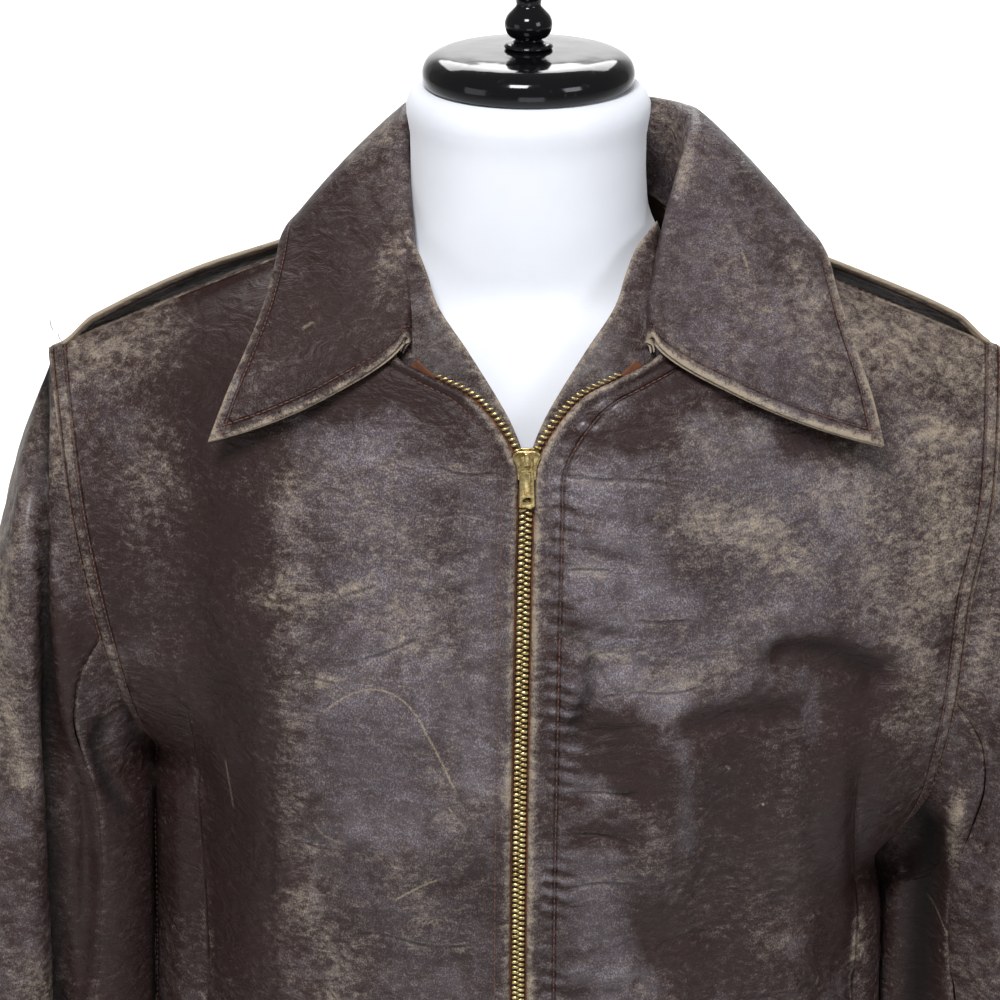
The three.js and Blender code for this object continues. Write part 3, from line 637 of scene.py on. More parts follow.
def waves(points, size, seed, octaves=2):
    """Smooth random hills, between about -1 and 1, the same on every run; sizes in millimetres."""
    points = points.grid / MM if isinstance(points, Cloth) else points
    rng = np.random.default_rng(seed)
    table = rng.uniform(-1, 1, (32, 32, 32))
    total, share = 0.0, 1.0
    for octave in range(octaves):
        p = points / size * 2**octave + 7.3 * octave
        cell = np.floor(p).astype(int)
        f = p - cell
        f = f * f * (3 - 2 * f)
        value = 0.0
        for corner in np.ndindex(2, 2, 2):
            weight = np.where(corner, f, 1 - f).prod(axis=-1)
            value = value + weight * table[tuple(np.moveaxis((cell + corner) % 32, -1, 0))]
        total = total + value * share
        share *= 0.5
    return total


def crumple(cloth, seed, stretch=(1, 1, 1), big=0.9, small=0.28):
    """Soft hills a hand wide and shallow ripples a finger wide, calm near the seams."""
    points = cloth.grid / MM / np.array(stretch)
    calm = smooth(cloth.away(), 2, 30)
    cloth.rise += calm * big * waves(points, 70, seed)
    ripple = waves(points, 17, seed + 1, 3)
    patch = smooth(waves(points, 60, seed + 2), -0.3, 0.6)
    cloth.rise += calm * small * patch * (1 - 2 * np.abs(ripple))


def pulls(cloth, seed, reach, depth, low=780, high=1372):
    """Short slack wrinkles that run in from the zip, longer across than they are tall."""
    points = cloth.grid / MM / np.array((3.4, 1.6, 1))
    ridged = 1 - 2.2 * np.abs(waves(points, 13, seed, 2))
    away = cloth.away("u0")
    near = smooth(away, 9, 18) * (1 - smooth(away, reach * 0.45, reach))
    along = smooth(cloth.mm(2), low, low + 30) * (1 - smooth(cloth.mm(2), high - 30, high))
    some = smooth(waves(cloth, 55, seed + 3), -0.5, 0.5)
    cloth.rise -= depth * near * along * some * np.clip(ridged, 0, 1) ** 2

# %% [markdown]
# A seam draws the cloth down, and the turned-in edge stands up a little beside it.

# %% Seams and hems


def seam(cloth, edges, depth, reach, ridge):
    """Draw the cloth down into a seam, with the low welt of the turned-in edge beside it."""
    for name in edges:
        distance = cloth.away(name)
        cloth.rise -= depth * (1 - smooth(distance, 0, reach))
        cloth.rise += ridge * hump(distance, reach * 1.3, reach * 0.7)


HEM_ROW = 22


def hem(cloth, height):
    """The low welt of a turned-up hem, and the groove that its row of stitches pulls."""
    distance = cloth.away("v0")
    cloth.rise += height * (hump(distance, 6, 5) - hump(distance, HEM_ROW, 3))


# %% [markdown]
# A hide has two faces. The creased outside and the inside one wall below it are joined round the
# rim, and what was painted on the cloth is kept at each point for the finish to read. Its size as
# cut is printed, and the frame's own solid for the piece is hidden.

# %% Make a shell from a sheet
# How far in from an edge its rounding starts and how deep it goes, in walls.
ROLL_REACH, ROLL_DEPTH = 1.1, 0.42


def new_piece(name, points, faces, finish):
    """A smooth piece made of points and faces, riding on the coat."""
    mesh = bpy.data.meshes.new(name)
    mesh.from_pydata([tuple(p) for p in points], [], faces)
    mesh.shade_smooth()
    mesh.materials.append(finish)
    mesh.update()
    piece = bpy.data.objects.new(name, mesh)
    bpy.context.scene.collection.objects.link(piece)
    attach(piece, "coat")
    return piece


def shell(cloth, name, finish=None, lined=False):
    """A closed piece: the creased outside, the inside one wall below it, and a rounded edge."""
    wall = cloth.wall
    border = np.minimum.reduce(list(cloth.edges.values()))
    lip = np.clip(border / (wall * ROLL_REACH), 0, 1)
    roll = wall * ROLL_DEPTH * (1 - np.sqrt(1 - (1 - lip) ** 2))
    rise = cloth.rise * MM
    outer = cloth.grid + cloth.normal * (rise - roll)[..., None]
    inner = cloth.grid + cloth.normal * (rise - wall + roll)[..., None]
    n, m = rise.shape
    number = np.arange(n * m).reshape(n, m)
    quads = np.stack([number[:-1, :-1], number[1:, :-1], number[1:, 1:], number[:-1, 1:]],
                     axis=-1).reshape(-1, 4)
    ring = np.concatenate([number[:, 0], number[-1, 1:], number[-2::-1, -1], number[0, -2::-1]])
    rim = np.stack([ring[:-1], ring[:-1] + n * m, ring[1:] + n * m, ring[1:]], axis=-1)
    faces = np.concatenate([quads, quads[:, ::-1] + n * m, rim])
    if cloth.turned:
        faces = faces[:, ::-1]
    points = np.concatenate([outer.reshape(-1, 3), inner.reshape(-1, 3)])
    piece = new_piece(name, points.tolist(), faces.tolist(), finish or hide)
    mesh = piece.data
    flat = np.tile(np.stack([cloth.u, cloth.v], axis=-1).reshape(-1, 2), (2, 1))
    corners = np.empty(len(mesh.loops), dtype=np.int32)
    mesh.loops.foreach_get("vertex_index", corners)
    mesh.uv_layers.new(name="cut").data.foreach_set("uv", flat[corners].ravel())
    marks = {"edge": border / MM, **cloth.marks}
    for mark in ("wear", "gloss_and_painted_sheen", "painted_shade", "deep", "lip", "crease_on", "scratch_on"):
        marks.setdefault(mark, np.zeros((n, m)))
    for mark in ("crease_side", "scratch_side", "stitch", "second_stitch"):
        marks.setdefault(mark, np.full((n, m), FAR))
    columns = {mark: np.tile(values.ravel(), 2) for mark, values in marks.items()}
    columns["inside"] = np.repeat([0.0, 0.0 if lined else 1.0], n * m)
    for mark, values in columns.items():
        column = mesh.attributes.new(mark, "FLOAT", "POINT")
        column.data.foreach_set("value", values.astype(np.float32))
    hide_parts(cloth.node)
    cloth.outer = outer
    print(name, "faces", len(mesh.polygons), "cut", [round(v, 3) for v in cloth.flat])


# %% [markdown]
# ## The finish of the hide
# The hide was dyed a deep red brown and pressed smooth. Where it is whole it mirrors wide light:
# its clear coat shines for real, and a pale lilac-grey sheen with small glints is painted into its
# colour as well, a painted reflection of that light. Painted shade darkens its hollows and the
# sides that turn from the light. Where it rubbed on things, the dye wore off in short upright
# specks and the dry tan core shows. So one number, how worn a point is, drives colour, roughness
# and shine together. It adds up what was painted on the pieces, how near an edge is, and a patchy
# noise.

# %% Leather finish


def darker(tint, share):
    """A colour with only a share of its light; a share above 1 makes it lighter."""
    return tuple(value * share for value in tint)


def mixed(one, other, share):
    """A colour between two others; share is how much of the first one is in it."""
    return tuple(share * a + (1 - share) * b for a, b in zip(one, other))


def hide_finish(name, whole, painted_sheen, worn, rough=0.34):
    """Worn leather from three colours: where it is whole, its painted sheen of reflected light, and
    where it is bare.
    """
    leather = Finish(name, IOR=1.45, Specular_IOR_Level=0.28, Coat_Roughness=0.24)
    where = leather.place()
    fine = leather.noise(leather.place(stretch=(1, 1, 0.7)), 1500, 2.0, 0.6)
    streak = leather.noise(leather.place(stretch=(0.6, 0.6, 1)), 300, 4.0, 0.72, 0.4)
    blotch = leather.noise(where, 15, 3.0, 0.6, 0.8)
    patch = leather.noise(where, 55, 5.0, 0.68, 0.9)
    slack = leather.noise(leather.place(stretch=(0.45, 0.45, 1)), 110, 3.0, 0.55, 1.6)
    # Marks painted on the pieces: painted shade, which also holds back wear and sheen; real shine
    # with painted sheen; and painted deep shade.
    edge, painted_shade, gloss_and_painted_sheen, deep = (leather.mark(mark) for mark in ("edge", "painted_shade", "gloss_and_painted_sheen", "deep"))
    inside = leather.mark("inside").ramp(0.35, 0.65)
    crease = leather.mark("crease_side").size()
    crease_on = leather.mark("crease_on") * patch.ramp(0.34, 0.56)
    # A thin line of painted shade along each sharp crease.
    crease_shade = crease.ramp(1.3, 0.1) * crease_on
    cracked = crease.ramp(0.3, 1.5) * crease.ramp(6.0, 1.8) * crease_on
    cut = (leather.mark("scratch_side").size().ramp(0.9, 0.2) * leather.mark("scratch_on")
           * fine.ramp(0.3, 0.56))
    rubbing = (leather.mark("wear") * 0.95 + blotch.ramp(0.52, 0.76) * 0.45
               + edge.ramp(4.2, 0.4) * 0.45 + leather.mark("lip") * 0.7 + cracked * 0.36)
    rubbing = rubbing * (patch * 1.5 + 0.25) - painted_shade * 0.6
    worn_at = rubbing * 0.34 + (streak * 1.0 + fine * 0.65 - 0.825)
    haze = worn_at.ramp(-0.08, 0.4)
    rubbed = worn_at.ramp(0.08, 0.44)
    bare = worn_at.ramp(0.27, 0.5)
    # This share is painted sheen. Where it is high, the colour turns to the grey of reflected light
    # as a painted reflection. The same share also lowers roughness and raises the real coat.
    sheen_share = (patch.ramp(0.38, 0.64) * blotch.ramp(0.34, 0.62) * 0.38 + gloss_and_painted_sheen * (patch * 1.3 + 0.1)
            - painted_shade * 0.8)
    sheen_share = sheen_share.highest(0).lowest(1)
    # Small pale painted glints inside the painted sheen.
    painted_glint = (fine * 0.7 + slack * 0.3).ramp(0.48, 0.66)
    thread_bed = (leather.mark("stitch").size().ramp(1.5, 0.3)).highest(
        leather.mark("second_stitch").size().ramp(1.5, 0.3))
    suede = leather.blend(patch, colour(74, 56, 46), colour(92, 72, 58))
    base = leather.blend(blotch.ramp(0.34, 0.66), darker(whole, 0.85), darker(whole, 1.2))
    # The layers in turn: flecks of painted sheen, painted sheen, painted shade, worn haze and
    # rubbed tan (real wear, tinted with the sheen's grey), painted glints, bare tan, scratches, a
    # thin line of painted shade in sharp creases, darker stitch lines, painted deep shade nearly
    # black in the deepest creases, and the suede inside.
    for share, layer in (((fine * 0.6 + streak * 0.4).ramp(0.42, 0.66) * 0.16, painted_sheen),
                         (sheen_share * (fine * 0.5 + 0.42), painted_sheen),
                         (painted_shade * 0.6, darker(whole, 0.85)),
                         (haze * 0.4, mixed(painted_sheen, worn, 0.6)),
                         (sheen_share * painted_glint * 0.5, colour(168, 164, 176)),
                         (rubbed * 0.55, mixed(worn, painted_sheen, 0.6)),
                         (bare * 0.55, worn),
                         (cut * 0.75, darker(worn, 0.8)),
                         (crease_shade * 0.4, darker(whole, 0.4)),
                         (thread_bed * 0.5, darker(whole, 0.5)),
                         (deep * 0.92, (0.0035, 0.0028, 0.0027)),
                         (inside, suede)):
        base = leather.blend(share, base, layer)
    roughness = (rough + haze * 0.1 + rubbed * 0.12 + bare * 0.18 + patch * 0.16 - sheen_share * 0.1
                 + painted_shade * 0.06 + deep * 0.45 + inside * 0.4)
    height = (patch * 0.46 + slack * 0.85 + streak * 0.1 + fine * 0.12 - crease_shade * 0.25
              - thread_bed * 0.4)
    return leather.finish(Base_Color=base, Roughness=roughness,
                          Normal=leather.relief(height, 0.0021),
                          Coat_Weight=(sheen_share * 0.55 - bare * 0.12 - painted_shade * 0.1).highest(0))


WHOLE = colour(45, 29, 26)
PAINTED_SHEEN = colour(107, 97, 102)
WORN = colour(172, 156, 132)
hide = hide_finish("worn_hide", WHOLE, PAINTED_SHEEN, WORN)

# %% [markdown]
# ## The two fronts
# Each front is one tall hide, from the shoulder seam to the hem. Beside the zip its edge is turned
# in and stitched, which makes a rounded lip with a groove behind it. The wearer's left front has a
# flat sewn band there, puckered by its thread. Above the elbow the arms pressed a deep dimple into
# the left chest, and the right front has one long soft fold down from the collar's point.

# %% Zip edge, lip and band
# The width of the lip and the rows of stitches, in millimetres from the edge.
LIP = 6.2
BAND_ROW, ZIP_ROW = 13.5, 7.4
ARM_ROWS = (2.6, 9.4)


def zip_edge(cloth, band=None, lip_wear=1.0, swelling=0.45, bright=0.2, shade=0.15):
    """The rounded lip beside the zip, the groove behind it, a puckered band if there is one, and
    painted highlight and painted shade on its ripples.
    """
    away = cloth.away("u0")
    below = smooth(cloth.mm(2), 1408, 1372)
    cloth.rise += 1.5 * hump(away, LIP * 0.42, 2.0) - 1.5 * hump(away, LIP * 1.18, 1.5)
    if band:
        height = cloth.mm(2) + 0.3 * away + 2.2 * waves(cloth, 21, 301)
        pucker = np.sin(height * math.tau / 8.2) * (0.55 + 0.75 * waves(cloth, 30, 303))
        inside = smooth(away, LIP * 1.15, LIP * 1.5) * (1 - smooth(away, band + 3, band + 17))
        cloth.rise += 0.85 * pucker * inside * below - 1.3 * hump(away, band, 1.6)
        # Painted highlight on the tops of the puckers and painted shade in their hollows.
        cloth.marks["gloss_and_painted_sheen"] = np.clip(pucker, 0, 1) * inside * below * 1.2
        cloth.marks["painted_shade"] = np.clip(-pucker, 0, 1) * inside * below * 0.75
        cloth.marks["stitch"] = away - band
    swell = np.sin((cloth.mm(2) + 9 * waves(cloth, 60, 305)) * math.tau / 21) * below
    swell *= 0.35 + 0.65 * np.clip(waves(cloth, 45, 307) + 0.6, 0, 1)
    slackness = smooth(away, 12, 26) * (1 - smooth(away, 34, 84))
    cloth.rise += 0.95 * swell * slackness * swelling
    # Painted highlight on the tops of the swells and painted shade between them.
    for mark, side, share in (("gloss_and_painted_sheen", swell, bright), ("painted_shade", -swell, shade)):
        cloth.marks[mark] = cloth.marks.get(mark, 0) + np.clip(side, 0, 1) * slackness * share
    cloth.marks["lip"] = lip_wear * hump(away, LIP * 0.3, LIP * 0.42)


zip_edge(front_right, lip_wear=0.5)
zip_edge(front_left, BAND_ROW, swelling=1.0, bright=0.55, shade=0.4)

# %% [markdown]
# A sharp fold also cracks the finish along its line and gets a thin line of painted shade, and a
# soft one is only a shape. The first row is the long fold below the collar's point.

# %% Folds of the right front
crumple(front_right, 11, stretch=(1, 1, 1.5), big=1.3, small=0.45)
pulls(front_right, 141, 74, 1.3)
turn = smooth(-front_right.mm(0), 124, 172) * smooth(front_right.mm(2), 1372, 1330)
front_right.rise -= 6.5 * turn * smooth(front_right.away("u1"), 3, 42)
folds(front_right, [
    ("soft lap", [(-124, 1352), (-122, 1307), (-124, 1263), (-125, 1214), (-129, 1136),
     (-127, 1010), (-120, 900)], 9, 2.2),
    ("sharp ridge", [(-129, 1287), (-110, 1291), (-97, 1288), (-83, 1295), (-68, 1301)], 4, 1.3),
    ("soft trough", [(-96, 1281), (-80, 1287), (-58, 1284), (-45, 1292)], 6, 1.2),
    ("sharp trough", [(-82, 1260), (-66, 1266), (-50, 1275)], 3.5, 1.5),
    ("sharp ridge", [(-124, 1250), (-108, 1253), (-90, 1248)], 4, 1.1),
    ("sharp trough", [(-44, 1358), (-30, 1354), (-12, 1356)], 3.5, 0.9),
    ("soft ridge", [(-30, 1322), (-22, 1318), (-13, 1319)], 4, 0.8),
    ("soft trough", [(-37, 1302), (-24, 1298), (-12, 1301)], 4, 0.8),
    ("soft trough", [(-163, 1352), (-168, 1322), (-166, 1285), (-171, 1240)], 14, 2.2),
    ("soft ridge", [(-150, 1225), (-153, 1180), (-148, 1120), (-150, 1030)], 11, 2.0),
    ("sharp trough", [(-170, 1225), (-173, 1170), (-168, 1090), (-170, 1000)], 9, 3.0),
    ("soft trough", [(-104, 1180), (-100, 1140), (-105, 1085), (-100, 1000)], 10, 1.6),
    ("soft ridge", [(-66, 1170), (-60, 1120), (-63, 1060)], 12, 1.3),
    ("sharp trough", [(-118, 1160), (-98, 1153), (-76, 1158), (-52, 1150)], 5, 1.0),
    ("sharp trough", [(-90, 1108), (-70, 1113), (-44, 1105), (-20, 1110)], 5, 1.1),
    ("sharp lap", [(-112, 1085), (-94, 1072), (-88, 1050), (-96, 1020)], 6, 1.3),
    ("sharp trough", [(-150, 960), (-110, 948), (-60, 955), (-20, 946)], 9, 1.8),
    ("soft ridge", [(-140, 880), (-100, 872), (-50, 880)], 12, 1.6),
    ("sharp trough", [(-120, 835), (-80, 828), (-30, 836)], 7, 1.3)])

# %% [markdown]
# Two deep soft dimples lie side by side in the left chest, each below a ridge. Short creases run
# in from the band.

# %% Folds of the left front
crumple(front_left, 23, stretch=(1, 1, 1.2), big=1.3, small=0.5)
pulls(front_left, 152, 92, 2.0)
folds(front_left, [
    ("soft trough", [(14, 1279), (25, 1276), (33, 1269), (31, 1250), (25, 1232),
     (18, 1212)], 3.4, 3.4),
    ("soft ridge", [(20, 1268), (26, 1258), (23, 1240), (16, 1228)], 5, 1.2),
    ("sharp lap", [(62, 1270), (49, 1266), (38, 1268), (28, 1262)], 3, 1.2),
    ("soft trough", [(44, 1308), (45, 1294), (41, 1279)], 4, 1.5),
    ("sharp trough", [(17, 1308), (30, 1309), (43, 1307)], 2.8, 1.1),
    ("sharp trough", [(50, 1283), (62, 1281), (80, 1281)], 2.6, 1.1),
    ("sharp trough", [(18, 1356), (34, 1352), (56, 1351), (74, 1346)], 3.2, 1.1),
    ("soft ridge", [(17, 1361), (32, 1358), (52, 1358)], 3.5, 0.9),
    ("sharp trough", [(30, 1243), (52, 1246), (70, 1243), (88, 1248)], 3.2, 1.0),
    ("soft ridge", [(26, 1236), (44, 1238), (60, 1232)], 9, 1.4),
    ("soft ridge", [(108, 1268), (128, 1274), (150, 1272), (170, 1260), (182, 1244)], 11, 1.5),
    ("soft trough", [(112, 1254), (130, 1259), (150, 1255), (165, 1245), (182, 1226)], 8.5, 6.8),
    ("soft ridge", [(68, 1238), (92, 1243), (114, 1243), (136, 1238)], 10, 1.2),
    ("soft trough", [(68, 1219), (92, 1226), (112, 1227), (138, 1221)], 8, 4.2),
    ("soft ridge", [(132, 1252), (131, 1236), (134, 1214), (130, 1190)], 5, 1.8),
    ("soft trough", [(143, 1240), (143, 1215), (140, 1180), (146, 1130)], 6, 2.2),
    ("soft ridge", [(152, 1225), (155, 1180), (158, 1130), (166, 1070)], 7, 2.4),
    ("soft trough", [(96, 1204), (90, 1160), (96, 1110), (93, 1050)], 11, 2.4),
    ("soft ridge", [(110, 1195), (112, 1150), (118, 1100), (114, 1040)], 9, 1.8),
    ("soft ridge", [(70, 1215), (66, 1170), (70, 1120)], 10, 1.4),
    ("sharp trough", [(16, 1192), (34, 1194), (58, 1188)], 3.6, 1.7),
    ("sharp lap", [(60, 1160), (38, 1171), (16, 1170)], 4, 1.6),
    ("sharp trough", [(16, 1139), (36, 1144), (58, 1139)], 3.6, 1.5),
    ("soft trough", [(24, 1216), (34, 1224), (52, 1218), (66, 1206)], 7, 2.4),
    ("sharp trough", [(62, 1100), (82, 1108), (104, 1102)], 5, 1.3),
    ("soft ridge", [(172, 1110), (174, 1085), (172, 1050)], 6, 1.6),
    ("sharp trough", [(168, 1200), (166, 1150), (173, 1100), (172, 1020)], 6, 3.0),
    ("soft trough", [(120, 1320), (123, 1300), (124, 1280)], 8, 1.3),
    ("soft trough", [(75, 1335), (96, 1328), (113, 1331)], 8, 1.0),
    ("sharp trough", [(24, 960), (70, 950), (120, 962)], 9, 1.8),
    ("sharp trough", [(30, 880), (80, 868), (140, 880)], 9, 1.6)])

for front in fronts.values():
    beside_arm = front.away("u1")
    zip_row = front.marks.get("stitch", np.full_like(beside_arm, FAR))
    front.marks["stitch"] = np.where(beside_arm < 30, beside_arm - ARM_ROWS[0], zip_row)
    front.marks["second_stitch"] = beside_arm - ARM_ROWS[1]
    front.rise += 0.8 * hump(beside_arm, 6, 2.4) - 0.5 * hump(beside_arm, ARM_ROWS[1], 1.3)
    front.marks["wear"] = 0.6 * hump(beside_arm, 5, 6) * smooth(front.mm(2), 1120, 1240)
    seam(front, ["u1"], depth=0.5, reach=2.5, ridge=0.0)
    seam(front, ["v1"], depth=0.8, reach=4.0, ridge=0.3)
    hem(front, 0.7)

# %% [markdown]
# Wear goes where the coat was touched: beside the armholes, on top of each ridge and at the hem.
# The hollows and the sides that turn from the light get painted shade, the deepest creases get
# painted deep shade, and skin that is pulled smooth gets painted sheen on top of its real shine.

# %% Scratches, wear, painted shade and painted sheen of the fronts
scratches(front_right, [
    ([(-99, 1231), (-90, 1240), (-78, 1247), (-66, 1247), (-54, 1238), (-44, 1217),
     (-32, 1190)], 1.0), ([(-66, 1131), (-53, 1140), (-40, 1146)], 0.8),
    ([(-104, 1172), (-100, 1163), (-90, 1160)], 0.5), ([(-38, 1186), (-34, 1180)], 0.9),
    ([(-150, 1192), (-147, 1160)], 0.4)])
scratches(front_left, [
    ([(97, 1202), (100, 1199)], 1.0), ([(115, 1181), (117, 1178)], 1.0),
    ([(58, 1331), (66, 1336)], 0.5), ([(136, 1297), (146, 1291)], 0.5),
    ([(88, 1265), (101, 1263)], 0.5)])
rubs(front_right, "wear", [
    ([(-110, 1345), (-115, 1310), (-110, 1285), (-117, 1250), (-115, 1215), (-118, 1160)], 10, 0.4),
    ([(-126, 1287), (-100, 1290), (-72, 1299)], 6, 0.55), ([(-112, 1250), (-92, 1248)], 7, 0.5),
    ([(-80, 1340), (-50, 1310), (-40, 1280)], 26, 0.34), ([(-60, 1275), (-45, 1268)], 8, 0.5),
    ([(-176, 1398), (-196, 1388), (-225, 1380)], 14, 0.6), ([(-176, 1352), (-186, 1330)], 14, 0.4),
    ([(-160, 1337), (-135, 1342)], 8, 0.42), ([(-148, 1300), (-150, 1260)], 12, 0.25),
    ([(-110, 1125), (-90, 1090), (-96, 1050)], 14, 0.45), ([(-62, 1150), (-48, 1120)], 12, 0.4),
    ([(-40, 1210), (-36, 1170)], 10, 0.36), ([(-140, 930), (-60, 940)], 26, 0.4),
    ([(-190, 800), (-20, 790)], 18, 0.5)])
rubs(front_left, "wear", [
    ([(150, 1400), (185, 1392), (222, 1375)], 22, 0.78),
    ([(200, 1345), (206, 1310), (196, 1280)], 22, 0.8),
    ([(84, 1330), (110, 1322), (128, 1305)], 15, 0.8),
    ([(70, 1368), (90, 1360), (110, 1368)], 10, 0.45),
    ([(150, 1340), (170, 1318), (176, 1290)], 22, 0.6),
    ([(66, 1257), (80, 1252), (96, 1258)], 8, 0.6),
    ([(186, 1262), (196, 1235), (190, 1200)], 12, 0.6), ([(30, 1266), (48, 1264)], 4, 0.7),
    ([(98, 1275), (112, 1280)], 14, 0.35), ([(110, 1140), (120, 1090)], 12, 0.4),
    ([(56, 1180), (62, 1150)], 8, 0.35), ([(172, 1085), (173, 1065)], 5, 0.9),
    ([(40, 930), (130, 940)], 26, 0.4), ([(30, 790), (180, 800)], 18, 0.5)])
# Painted shade where the folds turn from the light, under the collar and in the hollows.
rubs(front_right, "painted_shade", [
    ([(-152, 1404), (-148, 1350), (-146, 1290), (-148, 1230), (-146, 1160), (-150, 1090)], 25, 1.0),
    ([(-215, 1320), (-200, 1260)], 14, 0.5), ([(-176, 1220), (-176, 1100)], 18, 0.8),
    ([(-92, 1388), (-62, 1398), (-40, 1394)], 15, 1.0)])
rubs(front_left, "painted_shade", [
    ([(126, 1259), (148, 1256), (170, 1241)], 8.5, 1.0),
    ([(82, 1227), (104, 1229), (126, 1228)], 8, 1.0),
    ([(100, 1208), (110, 1150), (112, 1090)], 18, 0.55), ([(40, 1224), (56, 1196)], 16, 0.85),
    ([(164, 1225), (160, 1160), (164, 1090)], 20, 1.0), ([(188, 1225), (178, 1190)], 12, 0.8),
    ([(125, 1361), (150, 1353)], 8, 0.7), ([(60, 1399), (84, 1400), (108, 1388)], 11, 0.9),
    ([(24, 1371), (66, 1371)], 8, 0.8), ([(64, 1115), (84, 1085)], 16, 0.6),
    ([(26, 1172), (50, 1168)], 7, 0.6)])
# Painted deep shade, nearly black, in the deepest dimples.
rubs(front_left, "deep", [
    ([(30, 1271), (31, 1251), (22, 1219)], 2.2, 0.55), ([(16, 1278), (30, 1271)], 1.6, 0.5),
    ([(142, 1257), (154, 1252), (168, 1241)], 5.0, 0.45)])
# Painted sheen where the skin faces the light and is pulled smooth; it also makes the skin shinier
# for real.
rubs(front_right, "gloss_and_painted_sheen", [
    ([(-78, 1368), (-66, 1310), (-70, 1235), (-62, 1185)], 36, 0.6),
    ([(-64, 1325), (-50, 1300)], 15, 0.65), ([(-46, 1262), (-38, 1235)], 18, 0.7),
    ([(-22, 1340), (-22, 1200)], 14, 0.6), ([(-58, 1150), (-44, 1080)], 28, 0.3)])
rubs(front_left, "gloss_and_painted_sheen", [
    ([(36, 1350), (46, 1300), (44, 1266)], 25, 0.95),
    ([(100, 1340), (150, 1318), (118, 1284)], 34, 0.62), ([(20, 1352), (28, 1302)], 10, 1.0),
    ([(38, 1305), (76, 1288)], 11, 1.0), ([(38, 1254), (70, 1241)], 10, 1.2),
    ([(78, 1262), (118, 1282)], 19, 0.6), ([(30, 1150), (42, 1080)], 22, 0.6),
    ([(75, 1222), (80, 1160)], 6, 0.4), ([(136, 1246), (142, 1200)], 7, 0.35),
    ([(24, 1200), (40, 1190)], 8, 0.7)])
shell(front_right, "front_right_hide")
shell(front_left, "front_left_hide")

# %% [markdown]
# ## The back
# The back is one hide from side seam to side seam. It hangs straighter than the fronts because
# nothing opens it, so its creases are the ones that sitting and reaching make: upright folds
# behind each arm, two slack ones at the waist and a shallow pull between the shoulder blades.

# %% Back
crumple(back, 37, stretch=(1, 1, 1.4), big=1.4, small=0.3)
for side in SIDES.values():
    folds(back, [
        ("soft trough", [(side * 168, 1300), (side * 158, 1230), (side * 162, 1140)], 13, 4.0),
        ("soft ridge", [(side * 138, 1290), (side * 134, 1220), (side * 140, 1130)], 14, 3.0),
        ("soft trough", [(side * 118, 1180), (side * 108, 1080), (side * 112, 960)], 12, 2.6),
        ("soft trough", [(side * 60, 1050), (side * 54, 950), (side * 60, 860)], 14, 2.4),
        ("sharp trough", [(side * 176, 1010), (side * 120, 1000), (side * 70, 1008)], 7, 1.8),
        ("soft ridge", [(side * 172, 985), (side * 120, 974), (side * 80, 982)], 10, 1.6)])
folds(back, [
    ("sharp trough", [(-96, 1352), (-40, 1338), (30, 1338), (92, 1350)], 10, 1.8),
    ("sharp trough", [(-70, 905), (-10, 896), (66, 908)], 8, 1.6),
    ("sharp lap", [(-38, 1190), (-20, 1120), (-26, 1060)], 6, 1.4),
    ("sharp trough", [(26, 1240), (60, 1222), (96, 1228)], 5, 1.2)])
seam(back, ["u0", "u1"], depth=0.5, reach=2.5, ridge=0.3)
seam(back, ["v1"], depth=0.8, reach=4.0, ridge=0.3)
hem(back, 0.7)
rubs(back, "wear", [
    ([(-200, 1380), (-110, 1400)], 20, 0.8), ([(200, 1380), (110, 1400)], 20, 0.9),
    ([(-120, 1300), (-90, 1250)], 30, 0.5), ([(130, 1310), (100, 1240)], 32, 0.6),
    ([(-100, 940), (100, 930)], 36, 0.5), ([(-180, 795), (180, 795)], 18, 0.6),
    ([(0, 1330), (10, 1180)], 30, 0.3)])
shell(back, "back_hide")

# %% [markdown]
# ## The sleeves
# A coat sleeve is cut in two, a wide top and a narrow under piece, so that it can bend forwards
# at the elbow. On this coat each sleeve has a deep upright crease in front, where the outer half
# folds behind the inner one, and rings of short creases inside the elbow.

# %% Lead the sleeves to their armholes
TUCK, UNDER_BODY = 3 * MM, 1.6 * MM
for (side, part), sleeve in sleeves.items():
    rims, tucks = [], []
    back_row = (0, 4) if side == "left" else (-1, -5)
    for body, (row, inner_row) in ((fronts[side], (-1, -5)), (back, back_row)):
        inwards = body.outer[inner_row] - body.outer[row]
        inwards /= np.linalg.norm(inwards, axis=1, keepdims=True)
        rims.append(body.outer[row])
        tucks.append(body.outer[row] + inwards * TUCK - body.normal[row] * UNDER_BODY)
    tree, tucks = tree_of(np.concatenate(rims)), np.concatenate(tucks)
    way = np.array([tucks[tree.find(p)[1]] - p for p in sleeve.grid[:, -1]])
    way = averaged(way[:, None, :], 4)
    most = float(np.linalg.norm(way, axis=2).max()) / MM
    print(sleeve.node, "led by at most, mm", round(most, 1))
    sleeve.draw(sleeve.grid + way * (1 - smooth(sleeve.away("v1"), 0, 60))[..., None])

# %% [markdown]
# The under piece of a sleeve is drawn to the top piece until only a hair of air is left between
# them.

# %% Close the sleeve seams
SEAM_GAP = 0.3 * MM
for side in SIDES:
    top, below = sleeves[side, "top"], sleeves[side, "under"]
    tree = tree_of(np.concatenate([top.grid[0], top.grid[-1]]))
    shift = np.zeros_like(below.grid)
    for row, name in ((0, "u0"), (-1, "u1")):
        way = towards_nearest(below.grid[row], tree)
        far = np.linalg.norm(way, axis=1, keepdims=True)
        way *= np.clip(1 - SEAM_GAP / np.maximum(far, 1e-6), 0, 1)
        shift += way[None] * (1 - smooth(below.away(name), 0, 18))[..., None]
        print(below.node, name, "closed by at most, mm", round(float(far.max()) / MM, 1))
    below.draw(below.grid + shift)

# %% [markdown]
# All four pieces share the rings of creases at the elbow and the hem. One list in the plane of
# the room's front and one in the plane of its side place them on every face of the sleeve.

